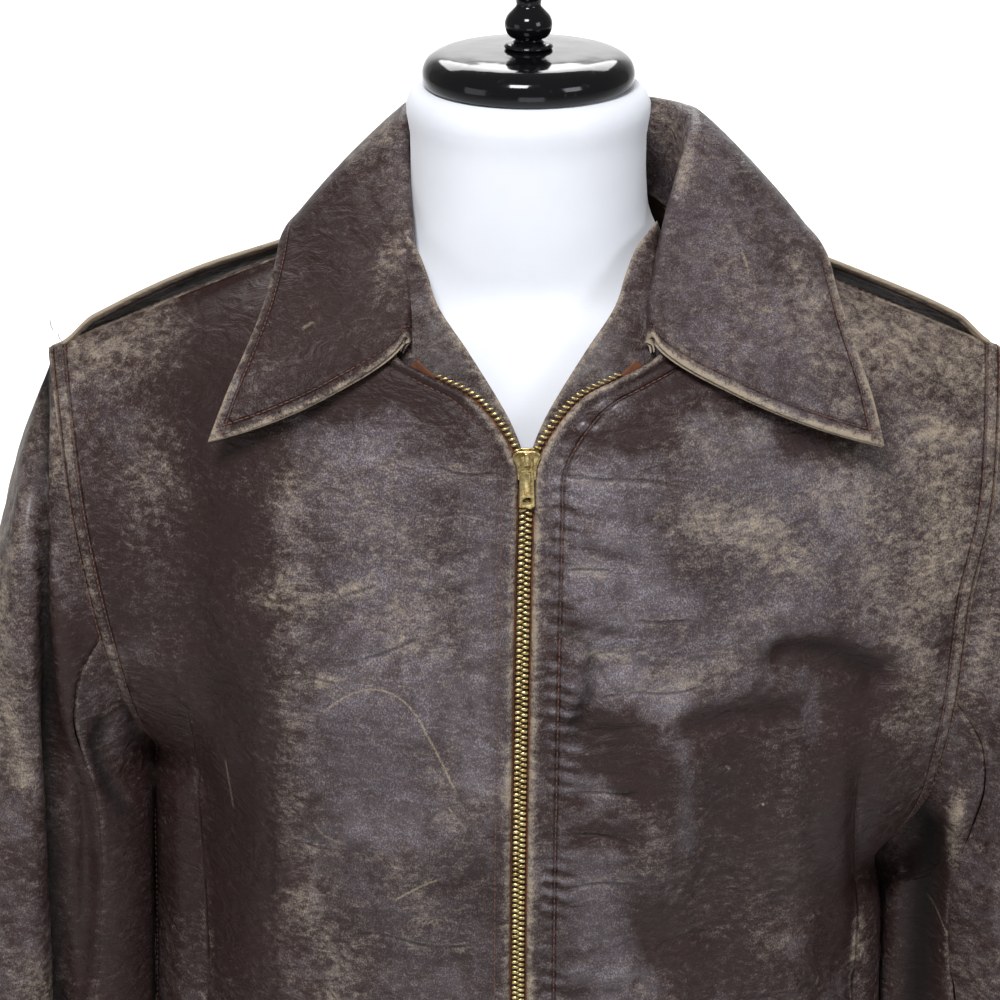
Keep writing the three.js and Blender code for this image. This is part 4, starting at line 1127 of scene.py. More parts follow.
# %% Sleeves
for number, ((side, part), sleeve) in enumerate(sleeves.items()):
    sign = SIDES[side]
    crumple(sleeve, 41 + number * 5, stretch=(1, 1, 1.6), big=1.3, small=0.35)
    for height, depth, slope in ((1010, 3.2, 14), (985, 2.4, -10), (962, 3.0, 10), (930, 2.2, -14),
                                 (880, 1.8, 10), (835, 1.6, -8)):
        ring = [(sign * 200, height - slope), (sign * 232, height), (sign * 262, height + slope)]
        folds(sleeve, [("sharp trough", ring, 6, depth),
                       ("soft ridge", [(x, z - 12) for x, z in ring], 6, depth * 0.6)],
              facing_side=FRONT)
        outer_ring = [(-40, height + slope), (-5, height - 4), (34, height + slope)]
        fold(sleeve, "sharp trough", outer_ring, 8, depth * 0.5, plane=(1, 2),
             facing_side=(sign, 0, 0))
    for height in (1140, 1050, 930):
        fold(sleeve, "sharp trough", [(sign * 225, height), (sign * 250, height - 22),
                                      (sign * 285, height - 16)], 9, 2.0, facing_side=REAR)
    seam(sleeve, ["u0", "u1"], depth=0.6, reach=3.0, ridge=0.3)
    hem(sleeve, 0.6)
    if part == "top":
        rubs(sleeve, "wear", [
            ([(-30, 1000), (20, 960)], 34, 0.8), ([(0, 1340), (6, 1240)], 30, 0.55),
            ([(-30, 790), (30, 790)], 16, 0.8), ([(10, 900), (0, 860)], 22, 0.5)], plane=(1, 2))

# %% [markdown]
# The right sleeve has the long upright crease, as a groove and a lap on the same line. The left
# one has short crumples below the armpit.

# %% Folds and wear of single sleeves
right_top, right_under = sleeves["right", "top"], sleeves["right", "under"]
left_top, left_under = sleeves["left", "top"], sleeves["left", "under"]
long_crease = [(-240, 1384), (-239, 1334), (-236, 1266), (-237, 1157), (-238, 1098), (-239, 1037),
               (-246, 950), (-256, 850)]
inner_crease = [(-213, 1206), (-216, 1184), (-211, 1160), (-204, 1144)]
folds(right_top, [
    ("soft trough", long_crease, 3.0, 9),
    ("soft lap", long_crease, 6, 4.5),
    ("soft ridge", [(-249, 1370), (-248, 1300), (-247, 1200), (-249, 1098), (-250, 1030),
                    (-258, 940)], 6, 2.6),
    ("soft ridge", [(-228, 1310), (-226, 1250), (-227, 1150), (-228, 1060)], 6, 1.6)],
      facing_side=FRONT)
for sleeve in (right_top, right_under):
    folds(sleeve, [
        ("soft trough", inner_crease, 4, 3.2),
        ("soft ridge", [(-206, 1205), (-205, 1185), (-203, 1165)], 4, 2.4),
        ("soft trough", [(-226, 1130), (-222, 1090), (-226, 1040)], 8, 2.2)], facing_side=FRONT)
    # Painted deep shade in the inner crease.
    rubs(sleeve, "deep", [([(-213, 1200), *inner_crease[1:]], 3, 0.8)])
for sleeve in (left_top, left_under):
    folds(sleeve, [
        ("soft trough", [(206, 1150), (205, 1110), (206, 1060), (208, 1010)], 10, 7),
        ("soft ridge", [(222, 1168), (220, 1140), (221, 1100), (224, 1040)], 6, 3.2),
        ("soft lap", [(238, 1240), (232, 1205), (224, 1178)], 8, 1.8),
        ("soft trough", [(226, 1290), (232, 1250), (230, 1215)], 7, 2.2),
        ("soft trough", [(202, 1142), (197, 1120), (194, 1096)], 4, 3.0),
        ("soft ridge", [(196, 1136), (192, 1112)], 4, 2.6)], facing_side=FRONT)
    scratches(sleeve, [([(205, 1092), (213, 1084), (222, 1070)], 0.7)])
    rubs(sleeve, "wear", [
        ([(219, 1160), (218, 1122)], 5, 1.0), ([(240, 1320), (244, 1240)], 18, 0.6),
        ([(229, 1262), (222, 1230)], 6, 0.7)])
    # Painted deep shade in the crease below the armpit.
    rubs(sleeve, "deep", [([(202, 1144), (205, 1118), (205, 1000)], 8, 0.9)])
rubs(right_top, "wear", [
    ([(-260, 1320), (-262, 1240), (-257, 1190)], 14, 0.68), ([(-255, 1215), (-253, 1175)], 7, 0.8),
    ([(-252, 1060), (-250, 1030)], 12, 0.6), ([(-221, 1240), (-216, 1225)], 6, 0.4),
    ([(-230, 1372), (-232, 1330)], 8, 0.6)])
# Painted shade where the under sleeves and the inner part of the right sleeve turn from the light,
# and painted deep shade, nearly black, in the long crease.
rubs(left_under, "painted_shade", [([(208, 1140), (208, 1000)], 13, 1.0)])
rubs(right_top, "painted_shade", [([(-222, 1250), (-219, 1180), (-222, 1090), (-232, 1000)], 13, 1.0)])
rubs(right_under, "painted_shade", [([(-206, 1160), (-208, 1000)], 12, 0.8)])
rubs(right_top, "deep", [([*long_crease[:4], (-239, 1037), (-256, 850)], 2.4, 1.0)])
for (side, part), sleeve in sleeves.items():
    shell(sleeve, f"sleeve_{side}_{part}_hide")

# %% [markdown]
# ## Collar and shoulder straps
# The collar is the coat's face: long pointed leaves that fold down over the chest, with a row of
# stitches near the edge and the tan core showing along the whole rim. It is two layers, sewn face
# to face and turned, so the under collar is the same sheet set one layer below.

# %% Collar
COLLAR_WALL, UNDER_WALL, COLLAR_ROW = 1.3 * MM, 1.2 * MM, 7.0
UP = (0, 0, 1)
collar = sheet("collar_upper", COLLAR_WALL, UP, (-58, -91, 1406), (58, -91, 1406),
               (2.3 * MM, 2.3 * MM))
crumple(collar, 61, big=0.6, small=0.22)
rim = collar.away("u0", "u1", "v1")
collar.rise += 0.55 * hump(rim, 2.6, 1.8) - 0.55 * hump(rim, COLLAR_ROW, 1.2)
collar.marks["stitch"] = rim - COLLAR_ROW
folds(collar, [
    ("soft trough", [(-122, 1410), (-100, 1420), (-78, 1412)], 5, 0.6),
    ("soft trough", [(-90, 1450), (-70, 1436)], 5, 0.8),
    ("soft trough", [(80, 1440), (96, 1420), (120, 1412)], 5, 0.7),
    ("soft trough", [(72, 1424), (90, 1400)], 5, 0.6),
    ("soft trough", [(110, 1446), (128, 1424)], 5, 0.5)])
rim_wear = 0.92 * hump(rim, 0, 4.4) * (0.72 + 0.45 * waves(collar, 26, 63))
left_leaf = smooth(collar.mm(0), 20, 60)
collar.marks["wear"] = np.clip(rim_wear * (0.8 + 0.5 * left_leaf), 0, 1.6)
rubs(collar, "wear", [
    ([(133, 1430), (142, 1400), (152, 1375)], 9, 0.5),
    ([(66, 1410), (100, 1385), (140, 1364)], 5, 0.7), ([(100, 1440), (110, 1420)], 12, 0.35),
    ([(-60, 1404), (-90, 1384)], 5, 0.7), ([(-60, 1452), (-70, 1430)], 7, 0.5),
    ([(70, 1490), (76, 1470)], 8, 0.6), ([(-70, 1490), (-90, 1478)], 8, 0.7)])
# Painted shade on the right leaf, and painted sheen on the left leaf.
rubs(collar, "painted_shade", [([(-110, 1440), (-96, 1410)], 34, 0.7)])
rubs(collar, "gloss_and_painted_sheen", [([(84, 1456), (104, 1410), (130, 1384)], 30, 0.42)])
scratches(collar, [
    ([(-108, 1412), (-101, 1416)], 0.7), ([(104, 1441), (108, 1430)], 0.8),
    ([(112, 1418), (120, 1416)], 0.9)])
shell(collar, "collar_hide", lined=True)

COLLAR_GAP = 0.6 * MM
under = Cloth("collar_under", UNDER_WALL,
              collar.grid - collar.normal * (COLLAR_WALL + COLLAR_GAP), UP)
under.rise = collar.rise * 0.7
under.marks["wear"] = hump(rim, 0, 4) * 0.9
shell(under, "under_collar_hide", lined=True)

# %% [markdown]
# The straps lie along the shoulder seams and bend down at both ends.

# %% Shoulder straps
STRAP_ROW = 5.5
straps = []
for side, sign in SIDES.items():
    strap = sheet(f"shoulder_strap_{side}", 2.6 * MM, UP, (sign * 97.6, 9.4, 1442.8),
                  (sign * 233.5, 2.5, 1389.6), (2 * MM, 2 * MM))
    rim, share = strap.away(), strap.u / strap.u[-1]
    strap.rise -= smooth(share, 0.86, 1.0) * 5.5 + smooth(1 - share, 0.9, 1.0) * 2.0
    strap.rise += 1.4 * waves(strap, 60, 91)
    strap.rise += 0.5 * hump(rim, 2.4, 1.6) - 0.45 * hump(rim, STRAP_ROW, 1.1)
    crumple(strap, 71, big=0.5, small=0.2)
    strap.marks["stitch"] = rim - STRAP_ROW
    strap.marks["wear"] = hump(rim, 0, 4.2) * 1.1 + 0.25
    shell(strap, f"shoulder_strap_{side}_hide", lined=True)
    straps.append(strap)

# %% [markdown]
# The facings stop short of the neck in the frame, so three more rows of points carry them up
# below the collar.

# %% Facings inside the fronts
FACING_TOP = (((47.6, -62, 1438), (54, -71, 1427), (61, -80, 1413)),
              ((53, -50, 1447), (59, -57, 1437), (65, -64, 1422)),
              ((59, -38, 1451), (63, -43, 1442), (68, -49, 1429)),
              ((64, -24, 1453), (67, -28, 1445), (71, -33, 1434)))
for side, sign in SIDES.items():
    strip = sheet(f"facing_{side}", 1.2 * MM, FRONT, (sign * -1.8 - 1, -98, 774),
                  (sign * 31.3 - 1, -98.6, 776), (3 * MM, 3 * MM), FACING_TOP, sign)
    strip.rise += 0.4 * waves(strip, 40, 77)
    strip.marks["wear"] = 0.5 * hump(strip.away("u0"), 0, 4)
    shell(strip, f"facing_{side}_hide", lined=True)

# %% [markdown]
# ## The zip
# A metal zip is two cotton tapes with brass teeth clamped along one edge. Each tooth is a small
# rounded bar, and the teeth of the two sides take turns. There are about five hundred, so each
# has only a few faces and all of one side are one mesh, laid along the edge of its front.

# %% Tape and brass
rust = Finish("rust_tape", Roughness=0.85)
tape_place = rust.node("ShaderNodeUVMap", {"uv_map": "cut"})
ribs = rust.threads(tape_place, "X", 420, 0.6)
picks = rust.threads(tape_place, "Y", 520, 0.6)
rust_dirt = rust.noise(rust.place(), 160, 4)
rust_colour = rust.blend(rust_dirt.ramp(0.35, 0.7), colour(128, 72, 42), colour(84, 50, 34))
rust_colour = rust.blend(ribs * picks * 0.4, rust_colour, colour(160, 102, 66))
rust.finish(Base_Color=rust_colour, Normal=rust.relief(ribs * 0.5 + picks * 0.5, 0.0002))

brass = Finish("aged_brass", Metallic=1.0)
tarnish = brass.noise(brass.place(), 520, 4, 0.6)
smudge = brass.noise(brass.place(), 90, 3)
brass_colour = brass.blend(tarnish.ramp(0.35, 0.65), colour(214, 194, 140), colour(156, 132, 84))
brass_colour = brass.blend(smudge.ramp(0.56, 0.75) * 0.6, brass_colour, colour(120, 96, 56))
brass.finish(Base_Color=brass_colour, Roughness=tarnish * 0.22 + 0.2,
             Normal=brass.relief(tarnish, 0.00008))

TAPE_END = (((43.5, -99.6, 1398.5), (48.7, -98.9, 1395.8)),
            ((51.5, -98.5, 1405.5), (55, -95.5, 1401.5)))
for side, sign in SIDES.items():
    tape = sheet(f"zip_tape_{side}", 0.9 * MM, FRONT, (sign * 0.2 - 3, -102.1, 777),
                 (sign * 7.9 - 3, -101.8, 777), (2 * MM, 3 * MM), TAPE_END, sign)
    shell(tape, f"zip_tape_{side}_cotton", finish=rust.material)

# %% [markdown]
# Teeth, stitches and the loose thread are all short tubes of a few rings, so they share the same
# tools.

# %% Teeth
TOOTH_PITCH = 2.9 * MM
FIRST_TOOTH, LAST_TOOTH = 0.777, 1.3985
TEETH_BELOW = 0.9 * MM
TOOTH_SIDES, STITCH_SIDES = 8, 5
# How far a tooth has come out of the tape, and half its height and depth there.
TOOTH_RINGS = ((1.0, 0.55, 0.7), (1.5, 1.0, 1.05), (3.2, 1.0, 1.15), (3.9, 0.7, 1.1),
               (4.8, 0.45, 0.8))


def distances(line):
    """How far each point of a line is from its start."""
    return np.concatenate([[0], np.cumsum(np.linalg.norm(np.diff(line, axis=0), axis=1))])


def read_at(place, run, values):
    """The points or directions of a line, read at one distance along it."""
    return np.array([np.interp(place, run, values[:, k]) for k in range(3)])


def unit(vector):
    return vector / np.linalg.norm(vector)


def ring_round(middle, side, up, sides, first=0.0):
    """Points round a middle, in the plane of two directions."""
    turns = [math.tau * (k + first) / sides for k in range(sides)]
    return [middle + side * math.cos(turn) + up * math.sin(turn) for turn in turns]


def tube_faces(rings, around, start):
    """Faces of a short closed tube, ring after ring, with a face on each end."""
    faces = []
    for ring in range(rings - 1):
        for k in range(around):
            a, b = start + ring * around + k, start + ring * around + (k + 1) % around
            faces.append((a, b, b + around, a + around))
    faces.append(tuple(start + k for k in reversed(range(around))))
    faces.append(tuple(start + (rings - 1) * around + k for k in range(around)))
    return faces


def outward(piece):
    """Turn a closed mesh's faces to look outwards."""
    mesh = bmesh.new()
    mesh.from_mesh(piece.data)
    bmesh.ops.recalc_face_normals(mesh, faces=mesh.faces)
    mesh.to_mesh(piece.data)
    mesh.free()


def teeth_of(side, phase):
    """One side's teeth, square to the edge of its front and leaning with it."""
    grid, normal = fronts[side].grid, fronts[side].normal[0]
    edge = grid[0] - normal * TEETH_BELOW
    out = grid[0] - grid[4]
    out -= normal * (out * normal).sum(axis=1, keepdims=True)
    out /= np.linalg.norm(out, axis=1, keepdims=True)
    run = distances(edge)
    points, faces = [], []
    for place in np.arange(phase * TOOTH_PITCH, run[-1], TOOTH_PITCH):
        at = read_at(place, run, edge)
        if not FIRST_TOOTH < at[2] < LAST_TOOTH:
            continue
        away = read_at(place, run, out)
        up = unit(read_at(place + MM, run, edge) - read_at(place - MM, run, edge))
        face = np.cross(away, up)
        face *= -1 if face[1] > 0 else 1
        faces += tube_faces(len(TOOTH_RINGS), TOOTH_SIDES, len(points))
        for reach, height, depth in TOOTH_RINGS:
            points += ring_round(at + away * reach * MM, up * height * MM, face * depth * MM,
                                 TOOTH_SIDES, 0.5)
    teeth = new_piece(f"zip_teeth_{side}_brass", points, faces, brass.material)
    outward(teeth)
    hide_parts(f"zip_teeth_{side}")
    print(teeth.name, "teeth", len(points) // (len(TOOTH_RINGS) * TOOTH_SIDES))


teeth_of("left", 0.25)
teeth_of("right", 0.75)

# %% [markdown]
# ## Slider and pull tab
# The slider is two plates with a wedge between them, and a small staple on the front that holds
# the tab. The tab is a stamped strip with a raised border. Both are boxes first: cut, tapered and
# inset in edit mode, then rounded with a bevel, which is what makes small metal catch the light.

# %% Tools for hard pieces


def block(name, low, high):
    """A box between two corners in millimetres."""
    pick()
    low, high = Vector(low) * MM, Vector(high) * MM
    bpy.ops.mesh.primitive_cube_add(size=1, location=(low + high) / 2, scale=high - low)
    bpy.ops.object.transform_apply(location=True, rotation=True, scale=True)
    piece = bpy.context.object
    piece.name = piece.data.name = name
    return piece


def choose(piece, kind, test):
    """Go to edit mode and select the points, edges or faces that pass a test."""
    bpy.ops.object.mode_set(mode="EDIT")
    bpy.ops.mesh.select_mode(type=kind)
    bpy.ops.mesh.select_all(action="DESELECT")
    mesh = bmesh.from_edit_mesh(piece.data)
    for item in {"VERT": mesh.verts, "EDGE": mesh.edges, "FACE": mesh.faces}[kind]:
        if test(item):
            item.select_set(True)
    mesh.select_flush_mode()
    bmesh.update_edit_mesh(piece.data)


def done():
    bpy.ops.object.mode_set(mode="OBJECT")


def modify(piece, kind, **settings):
    """Add a modifier and apply it at once."""
    pick(piece)
    modifier = piece.modifiers.new(kind.lower(), kind)
    for key, value in settings.items():
        setattr(modifier, key, value)
    bpy.ops.object.modifier_apply(modifier=modifier.name)


def round_off(piece, width, segments=2, angle=35):
    """Round the edges and shade what is left smooth."""
    modify(piece, "BEVEL", width=width * MM, segments=segments, limit_method="ANGLE",
           angle_limit=math.radians(angle))
    shade(piece, 40)


def join(pieces, name):
    pick(*pieces)
    bpy.ops.object.join()
    pieces[0].name = pieces[0].data.name = name
    return pieces[0]


def set_at(piece, place, tilt):
    """Turn a finished piece about the x axis, move it, and put both into its mesh."""
    pick(piece)
    piece.location = place
    piece.rotation_euler = (tilt, 0, 0)
    bpy.ops.object.transform_apply(location=True, rotation=True, scale=True)


def hard(piece, finish, body, node):
    """Give a hard piece its finish, fix it to the body it rides on, and hide the frame's solid that
    it replaces.
    """
    piece.data.materials.clear()
    piece.data.materials.append(finish)
    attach(piece, body)
    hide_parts(node)
    print(piece.name, "faces", len(piece.data.polygons))


def shade(piece, angle):
    """Shade a piece smooth, but not across edges sharper than an angle."""
    pick(piece)
    bpy.ops.object.shade_smooth_by_angle(angle=math.radians(angle))


def corner_edge(edge):
    """Whether an edge runs from the front of a plate to its back."""
    step = edge.verts[0].co - edge.verts[1].co
    return abs(step.x) < 1e-6 and abs(step.z) < 1e-6


# %% Slider
SLIDER_PLACE = Vector((0, -114.6, 1360)) * MM
SLIDER_TILT = math.radians(-5.7)


def slider_plate(name, front, behind):
    plate = block(name, (-6.7, front, -7.5), (6.7, behind, 6.6))
    choose(plate, "EDGE", lambda e: corner_edge(e) and e.verts[0].co.z > 0)
    bpy.ops.mesh.bevel(offset=3.2 * MM, segments=5, affect="EDGES")
    bpy.ops.mesh.select_all(action="SELECT")
    for height in (2.0, -1.5):
        bpy.ops.mesh.bisect(plane_co=(0, 0, height * MM), plane_no=(0, 0, 1))
        bpy.ops.mesh.select_all(action="SELECT")
    for below, share in ((2.5, 0.9), (-1.0, 0.78), (-7.0, 0.9)):
        choose(plate, "VERT", lambda v: v.co.z < below * MM)
        bpy.ops.transform.resize(value=(share, 1, 1), center_override=(0, 0, 0))
    done()
    return plate


front_plate = slider_plate("front_plate", -2.65, -1.35)
choose(front_plate, "FACE", lambda f: f.normal.y < -0.9)
bpy.ops.mesh.inset(thickness=1.1 * MM, depth=0.0)
bpy.ops.transform.translate(value=(0, -0.35 * MM, 0))
done()
back_plate = slider_plate("back_plate", 2.9, 4.1)
wedge = block("wedge", (-1.0, -1.5, 2.0), (1.0, 3.0, 6.0))
staple = block("staple", (-1.15, -5.75, 0.0), (1.15, -4.65, 6.0))
bpy.ops.object.mode_set(mode="EDIT")
for height in (1.1, 4.9):
    bpy.ops.mesh.select_all(action="SELECT")
    bpy.ops.mesh.bisect(plane_co=(0, 0, height * MM), plane_no=(0, 0, 1))
choose(staple, "FACE",
       lambda f: f.normal.y > 0.9 and abs(f.calc_center_median().z - 3 * MM) > 1.5 * MM)
bpy.ops.mesh.extrude_region_move(TRANSFORM_OT_translate={"value": (0, 2.4 * MM, 0)})
done()
for part, width in ((front_plate, 0.4), (back_plate, 0.3), (wedge, 0.3), (staple, 0.42)):
    round_off(part, width, 3)
slider = join([front_plate, back_plate, wedge, staple], "slider_brass")
set_at(slider, SLIDER_PLACE, SLIDER_TILT)
hard(slider, brass.material, "coat", "zip_slider")

# %% [markdown]
# The tab is a strip with two holes cut through it, and two raised borders.

# %% Pull tab
tab = block("tab_brass", (-3.8, -4.15, -20.4), (3.8, -2.95, 3.6))
choose(tab, "VERT", lambda v: v.co.z > 3 * MM)
bpy.ops.transform.resize(value=(0.86, 1, 1), center_override=(0, 0, 0))
choose(tab, "EDGE", corner_edge)
bpy.ops.mesh.bevel(offset=1.0 * MM, segments=4, affect="EDGES")
done()
for low, high in (((-1.5, -6, -1.1), (1.5, 0, 2.4)), ((-1.9, -6, -17.9), (1.9, 0, -15.6))):
    cutter = block("cutter", low, high)
    choose(cutter, "EDGE", lambda e: abs(e.verts[0].co.y - e.verts[1].co.y) > 1 * MM)
    bpy.ops.mesh.bevel(offset=0.8 * MM, segments=4, affect="EDGES")
    done()
    modify(tab, "BOOLEAN", operation="DIFFERENCE", object=cutter, solver="EXACT")
    bpy.data.objects.remove(cutter)
round_off(tab, 0.22, 2)
rims = []
for half, low, high, proud, width in ((3.35, -19.9, -2.2, 0.32, 0.75),
                                      (1.5, -14.4, -3.6, 0.2, 0.45)):
    frame_rim = block("tab_rim", (-half, -4.15 - proud, low), (half, -4.0, high))
    choose(frame_rim, "FACE", lambda f: f.normal.y < -0.9)
    bpy.ops.mesh.inset(thickness=width * MM, depth=0)
    bpy.ops.mesh.delete(type="FACE")
    choose(frame_rim, "FACE", lambda f: f.normal.y > 0.9)
    bpy.ops.mesh.delete(type="FACE")
    done()
    modify(frame_rim, "SOLIDIFY", thickness=width * 0.5 * MM, offset=-1)
    round_off(frame_rim, 0.1, 2)
    rims.append(frame_rim)
tab = join([tab, *rims], "tab_brass")
set_at(tab, SLIDER_PLACE, SLIDER_TILT)
hard(tab, brass.material, "pull_tab", "zip_pull")

# %% [markdown]
# ## The dress form and its stand
# The coat rests on a limbless form: a padded torso under a white knitted cover, a black lacquered
# cap with a turned knob, and a steel pole on a round foot. The torso's rings are read back and
# smoothed the way the cloth was. The lacquered pieces are turned on a lathe, so each is a circle
# pulled up its outline, one step at a time.

# %% Torso
knit = Finish("white_knit", Roughness=0.82, Sheen_Weight=0.25)
knit_place = knit.place()
wales = knit.threads(knit_place, "Z", 330, 1.2, 1.0)
courses = knit.cells(knit_place, 900)
handled = knit.noise(knit.place(), 14, 4)
knit_colour = knit.blend(handled.ramp(0.3, 0.8), colour(232, 234, 239), colour(222, 224, 231))
knit.finish(Base_Color=knit_colour, Normal=knit.relief(wales * 0.3 + courses * 0.3, 0.00005))

TORSO_SIDES, TORSO_RINGS = 96, 150
torso_mesh = bmesh.new()
torso_mesh.from_mesh(bpy.data.objects["form_torso"].data)
bmesh.ops.remove_doubles(torso_mesh, verts=torso_mesh.verts, dist=1e-5)
levels = {}
for v in torso_mesh.verts:
    if math.hypot(v.co.x, v.co.y) > 10 * MM:
        levels.setdefault(round(v.co.z / MM, 1), []).append(v.co.copy())
torso_mesh.free()
rings = []
for height in sorted(levels):
    ring = levels[height]
    middle = sum(ring, Vector()) / len(ring)
    rings.append(sorted(ring, key=lambda p: math.atan2(p.y - middle.y, p.x - middle.x)))
rings = np.array([[tuple(p) for p in ring] for ring in rings])
wide = np.concatenate([rings[:, -3:], rings, rings[:, :4]], axis=1).transpose(1, 0, 2)
knots = lengths_along(wide)
around = np.linspace(knots[3], knots[3 + rings.shape[1]], TORSO_SIDES + 1)[:-1]
wide = through(wide, knots, around).transpose(1, 0, 2)
knots = lengths_along(wide)
wide = through(wide, knots, np.linspace(0, knots[-1], TORSO_RINGS))
torso = new_piece("form_cover_knit", wide.reshape(-1, 3), tube_faces(*wide.shape[:2], 0),
                  knit.material)
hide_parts("form_torso")
outward(torso)
print("torso rings read", len(rings), "drawn", len(wide))

# %% [markdown]
# Black lacquer shows dust before anything else, so it is the dust that gives it a finish.

# %% Lacquered cap and knob, pole and foot
lacquer = Finish("black_lacquer", Specular_IOR_Level=0.3, Coat_Weight=0.12, Coat_Roughness=0.06)
dust = lacquer.noise(lacquer.place(), 240, 5, 0.7)
lacquer_wave = lacquer.noise(lacquer.place(), 60, 2)
lacquer_colour = lacquer.blend(dust.ramp(0.6, 0.8), colour(12, 12, 14), colour(46, 44, 44))
lacquer.finish(Base_Color=lacquer_colour, Roughness=dust.ramp(0.55, 0.8) * 0.25 + 0.1,
               Normal=lacquer.relief(lacquer_wave, 0.0003))
steel = Finish("black_enamel", Coat_Weight=0.2, Coat_Roughness=0.2)
enamel = steel.noise(steel.place(), 700, 3)
steel.finish(Base_Color=steel.blend(enamel, colour(22, 22, 24), colour(34, 34, 36)),
             Roughness=enamel * 0.2 + 0.32, Normal=steel.relief(enamel, 0.0001))


def turned(name, profile, centre, sides, finish, node, bevel):
    """Turn an outline of radius and height, in millimetres, round an upright axis."""
    pick()
    radius, height = profile[0]
    bpy.ops.mesh.primitive_circle_add(vertices=sides, radius=radius * MM, fill_type="NGON",
                                      location=(centre * MM, 0, height * MM))
    piece = bpy.context.object
    piece.name = piece.data.name = name
    bpy.ops.object.transform_apply(location=True, rotation=True, scale=True)
    bpy.ops.object.mode_set(mode="EDIT")
    bpy.ops.mesh.select_all(action="SELECT")
    for new_radius, new_height in profile[1:]:
        bpy.ops.mesh.extrude_region_move(
            TRANSFORM_OT_translate={"value": (0, 0, (new_height - height) * MM)})
        share = new_radius / radius
        bpy.ops.transform.resize(value=(share, share, 1),
                                 center_override=(centre * MM, 0, new_height * MM))
        radius, height = new_radius, new_height
    done()
    outward(piece)
    if bevel:
        round_off(piece, bevel, 3, 20)
    else:
        shade(piece, 50)
    hard(piece, finish, "coat", node)


def curve_through(profile, steps):
    """More points on a smooth outline through the given ones."""
    line = np.array([[(r, z, 0)] for r, z in profile], dtype=float)
    knots = lengths_along(line)
    fine = through(line, knots, np.linspace(0, knots[-1], steps))
    return [(max(float(p[0][0]), 0.4), float(p[0][1])) for p in fine]


NECK_X = 1.2
CAP_Z, KNOB_Z = 1514.3, 1532.6
CAP = [(51.5, 3), (51.6, 8), (49.8, 12), (45, 15.2), (36, 16.8), (20, 17.6), (9, 18)]
KNOB = [(11.3, 0), (11.9, 1.0), (11.0, 2.2), (7.6, 3.2), (6.6, 4.4), (9.4, 6), (11.3, 9.5),
        (11.6, 12), (10.6, 15.5), (7.6, 19), (6.0, 21), (6.2, 23), (8.3, 30), (8.1, 33),
        (5.6, 35.6), (1.2, 36.5)]
cap_outline = curve_through([(r, CAP_Z + z) for r, z in CAP], 26)
turned("neck_cap_lacquer", [(48.5, CAP_Z), (50.6, CAP_Z + 1)] + cap_outline,
       NECK_X, 96, lacquer.material, "form_neck_cap", 0)
turned("knob_lacquer", curve_through([(r, KNOB_Z + z) for r, z in KNOB], 84),
       NECK_X, 64, lacquer.material, "form_finial", 0)
pole_top = round(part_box("stand_pole")[1][2] / MM, 2)
turned("pole_enamel", [(34, 14.3), (34, 20), (30, 22.5), (20, 28), (14, 40), (14, pole_top - 10),
                       (36, pole_top - 8), (36, pole_top)], 0, 64, steel.material,
       "stand_pole", 0.6)
turned("foot_enamel", [(178, 0), (180, 2), (180, 7), (174, 11), (150, 14), (36, 14)],
       0, 128, steel.material, "stand_base", 0.8)

# %% [markdown]
# ## Stitches
# Every edge of the coat is held by a row of lockstitch in a heavy thread: double beside the
# armholes, single along the collar, straps and zip. A stitch is a grain of thread that dips into
# the hide at both ends. Each row follows its own piece's grid at a set distance from the edge, so
# it lies exactly on the creased surface, and all the stitches of a piece are one mesh.

# %% Thread
thread = Finish("worn_thread", Roughness=0.75)
twist = thread.noise(thread.place(), 1500, 2)
soiled = thread.noise(thread.place(), 60, 3)
thread_colour = thread.blend(soiled.ramp(0.4, 0.65), colour(112, 70, 56), colour(84, 62, 52))
thread.finish(Base_Color=thread_colour, Normal=thread.relief(twist, 0.0002))


def row_beside(cloth, edge, inset):
    """Points and facings of the outer surface at a set distance from one edge."""
    distance, grid, normal = cloth.edges[edge], cloth.outer, cloth.normal
    if edge[0] == "v":
        distance, grid, normal = distance.T, grid.transpose(1, 0, 2), normal.transpose(1, 0, 2)
    if edge[1] == "1":
        distance, grid, normal = distance[::-1], grid[::-1], normal[::-1]
    return [np.array([read_at(inset * MM, distance[:, column], values[:, column])
                      for column in range(distance.shape[1])]) for values in (grid, normal)]


# How far along the stitch a ring of it is, how high it lies, and how thick it is there.
STITCH_RINGS = ((-0.5, -0.22, 0.5), (-0.25, 0.14, 1.0), (0.25, 0.14, 1.0), (0.5, -0.22, 0.5))
STITCH_LENGTH, STITCH_THICKNESS = 0.78, 0.33
BAND_TOP = 1.398


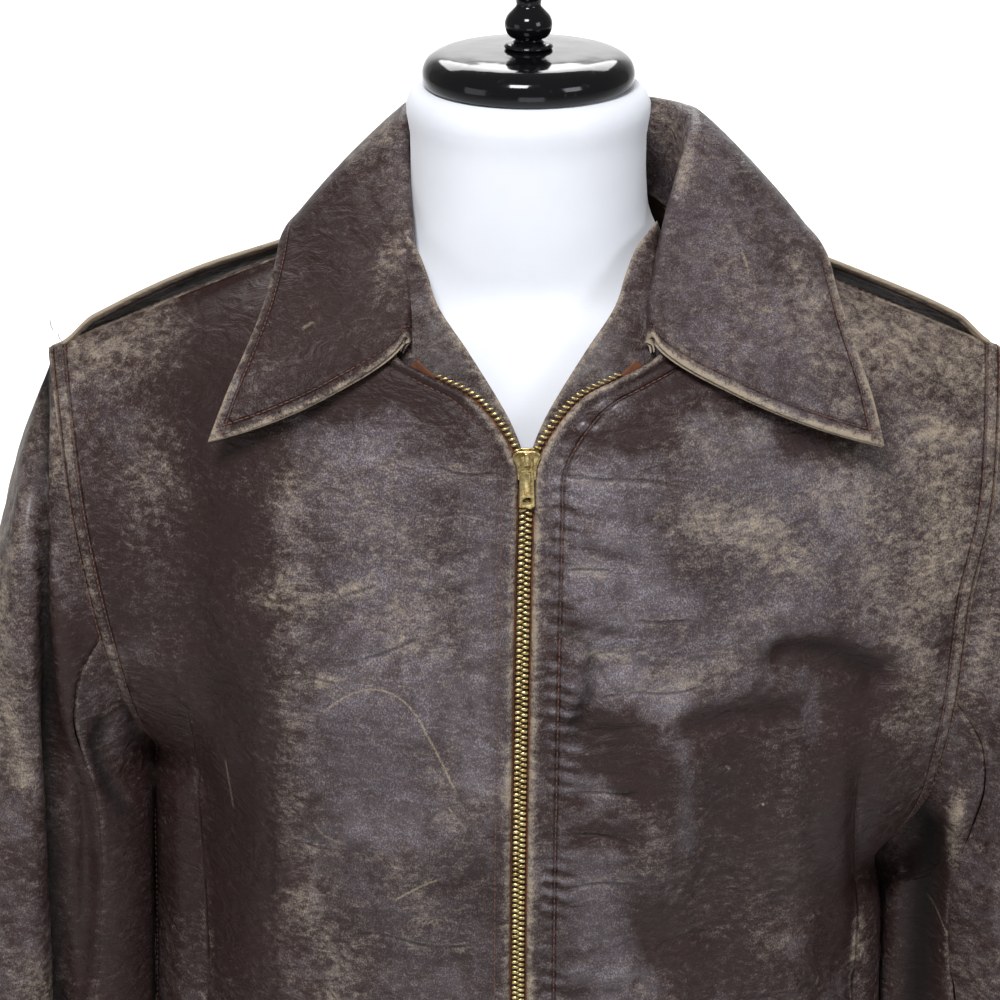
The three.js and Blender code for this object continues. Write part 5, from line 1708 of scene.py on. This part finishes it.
def sew(name, rows, pitch=3.2, top=math.inf):
    """All the stitches of some rows, each a cloth, one of its edges and how far from it to sew."""
    points, faces = [], []
    for cloth, edge, inset in rows:
        line, up = row_beside(cloth, edge, inset)
        run = distances(line)
        for place in np.arange(pitch * MM, run[-1] - pitch * MM * 0.5, pitch * MM):
            at = read_at(place, run, line)
            if at[2] >= top:
                continue
            ahead, high = unit(read_at(place + MM, run, line) - at), unit(read_at(place, run, up))
            across = np.cross(ahead, high)
            faces += tube_faces(len(STITCH_RINGS), STITCH_SIDES, len(points))
            for share, lift, size in STITCH_RINGS:
                thick = STITCH_THICKNESS * size * MM
                middle = at + ahead * share * pitch * STITCH_LENGTH * MM + high * lift * MM
                points += ring_round(middle, across * thick, high * thick, STITCH_SIDES)
    outward(new_piece(name, points, faces, thread.material))
    print(name, "stitches", len(points) // (len(STITCH_RINGS) * STITCH_SIDES))


sew("collar_stitches", [(collar, edge, COLLAR_ROW) for edge in ("u0", "u1", "v1")], 3.0)
sew("armhole_stitches", [(front, "u1", inset) for front in fronts.values() for inset in ARM_ROWS])
sew("zip_band_stitches", [(front_left, "u0", BAND_ROW), (front_right, "u0", ZIP_ROW)], top=BAND_TOP)
hemmed = (*fronts.values(), back, *sleeves.values())
sew("hem_stitches", [(cloth, "v0", HEM_ROW) for cloth in hemmed], 3.6)
sew("strap_stitches", [(strap, edge, STRAP_ROW) for strap in straps for edge in ("v0", "v1")])
sew("back_stitches", [(back, "u0", 3), (back, "u1", 3), (back, "v1", 4)], 3.6)

# %% [markdown]
# One end of thread has come out of the right strap and curls up.

# %% A loose thread at the shoulder
shoulder = Vector(straps[1].outer[-1, 0])
bends = [shoulder + Vector(step) * MM for step in (
    (1, 0, 0), (-0.5, -1, 2.5), (-1, -2, 5.5), (-3.5, -2.5, 7.5), (-4.5, -2.5, 10.5), (-4, -3, 13))]
sideways, forwards = Vector((0.22, 0, 0)) * MM, Vector((0, 0.22, 0)) * MM
points = [point for bend in bends for point in ring_round(bend, sideways, forwards, STITCH_SIDES)]
outward(new_piece("loose_thread", points, tube_faces(len(bends), STITCH_SIDES, 0), thread.material))
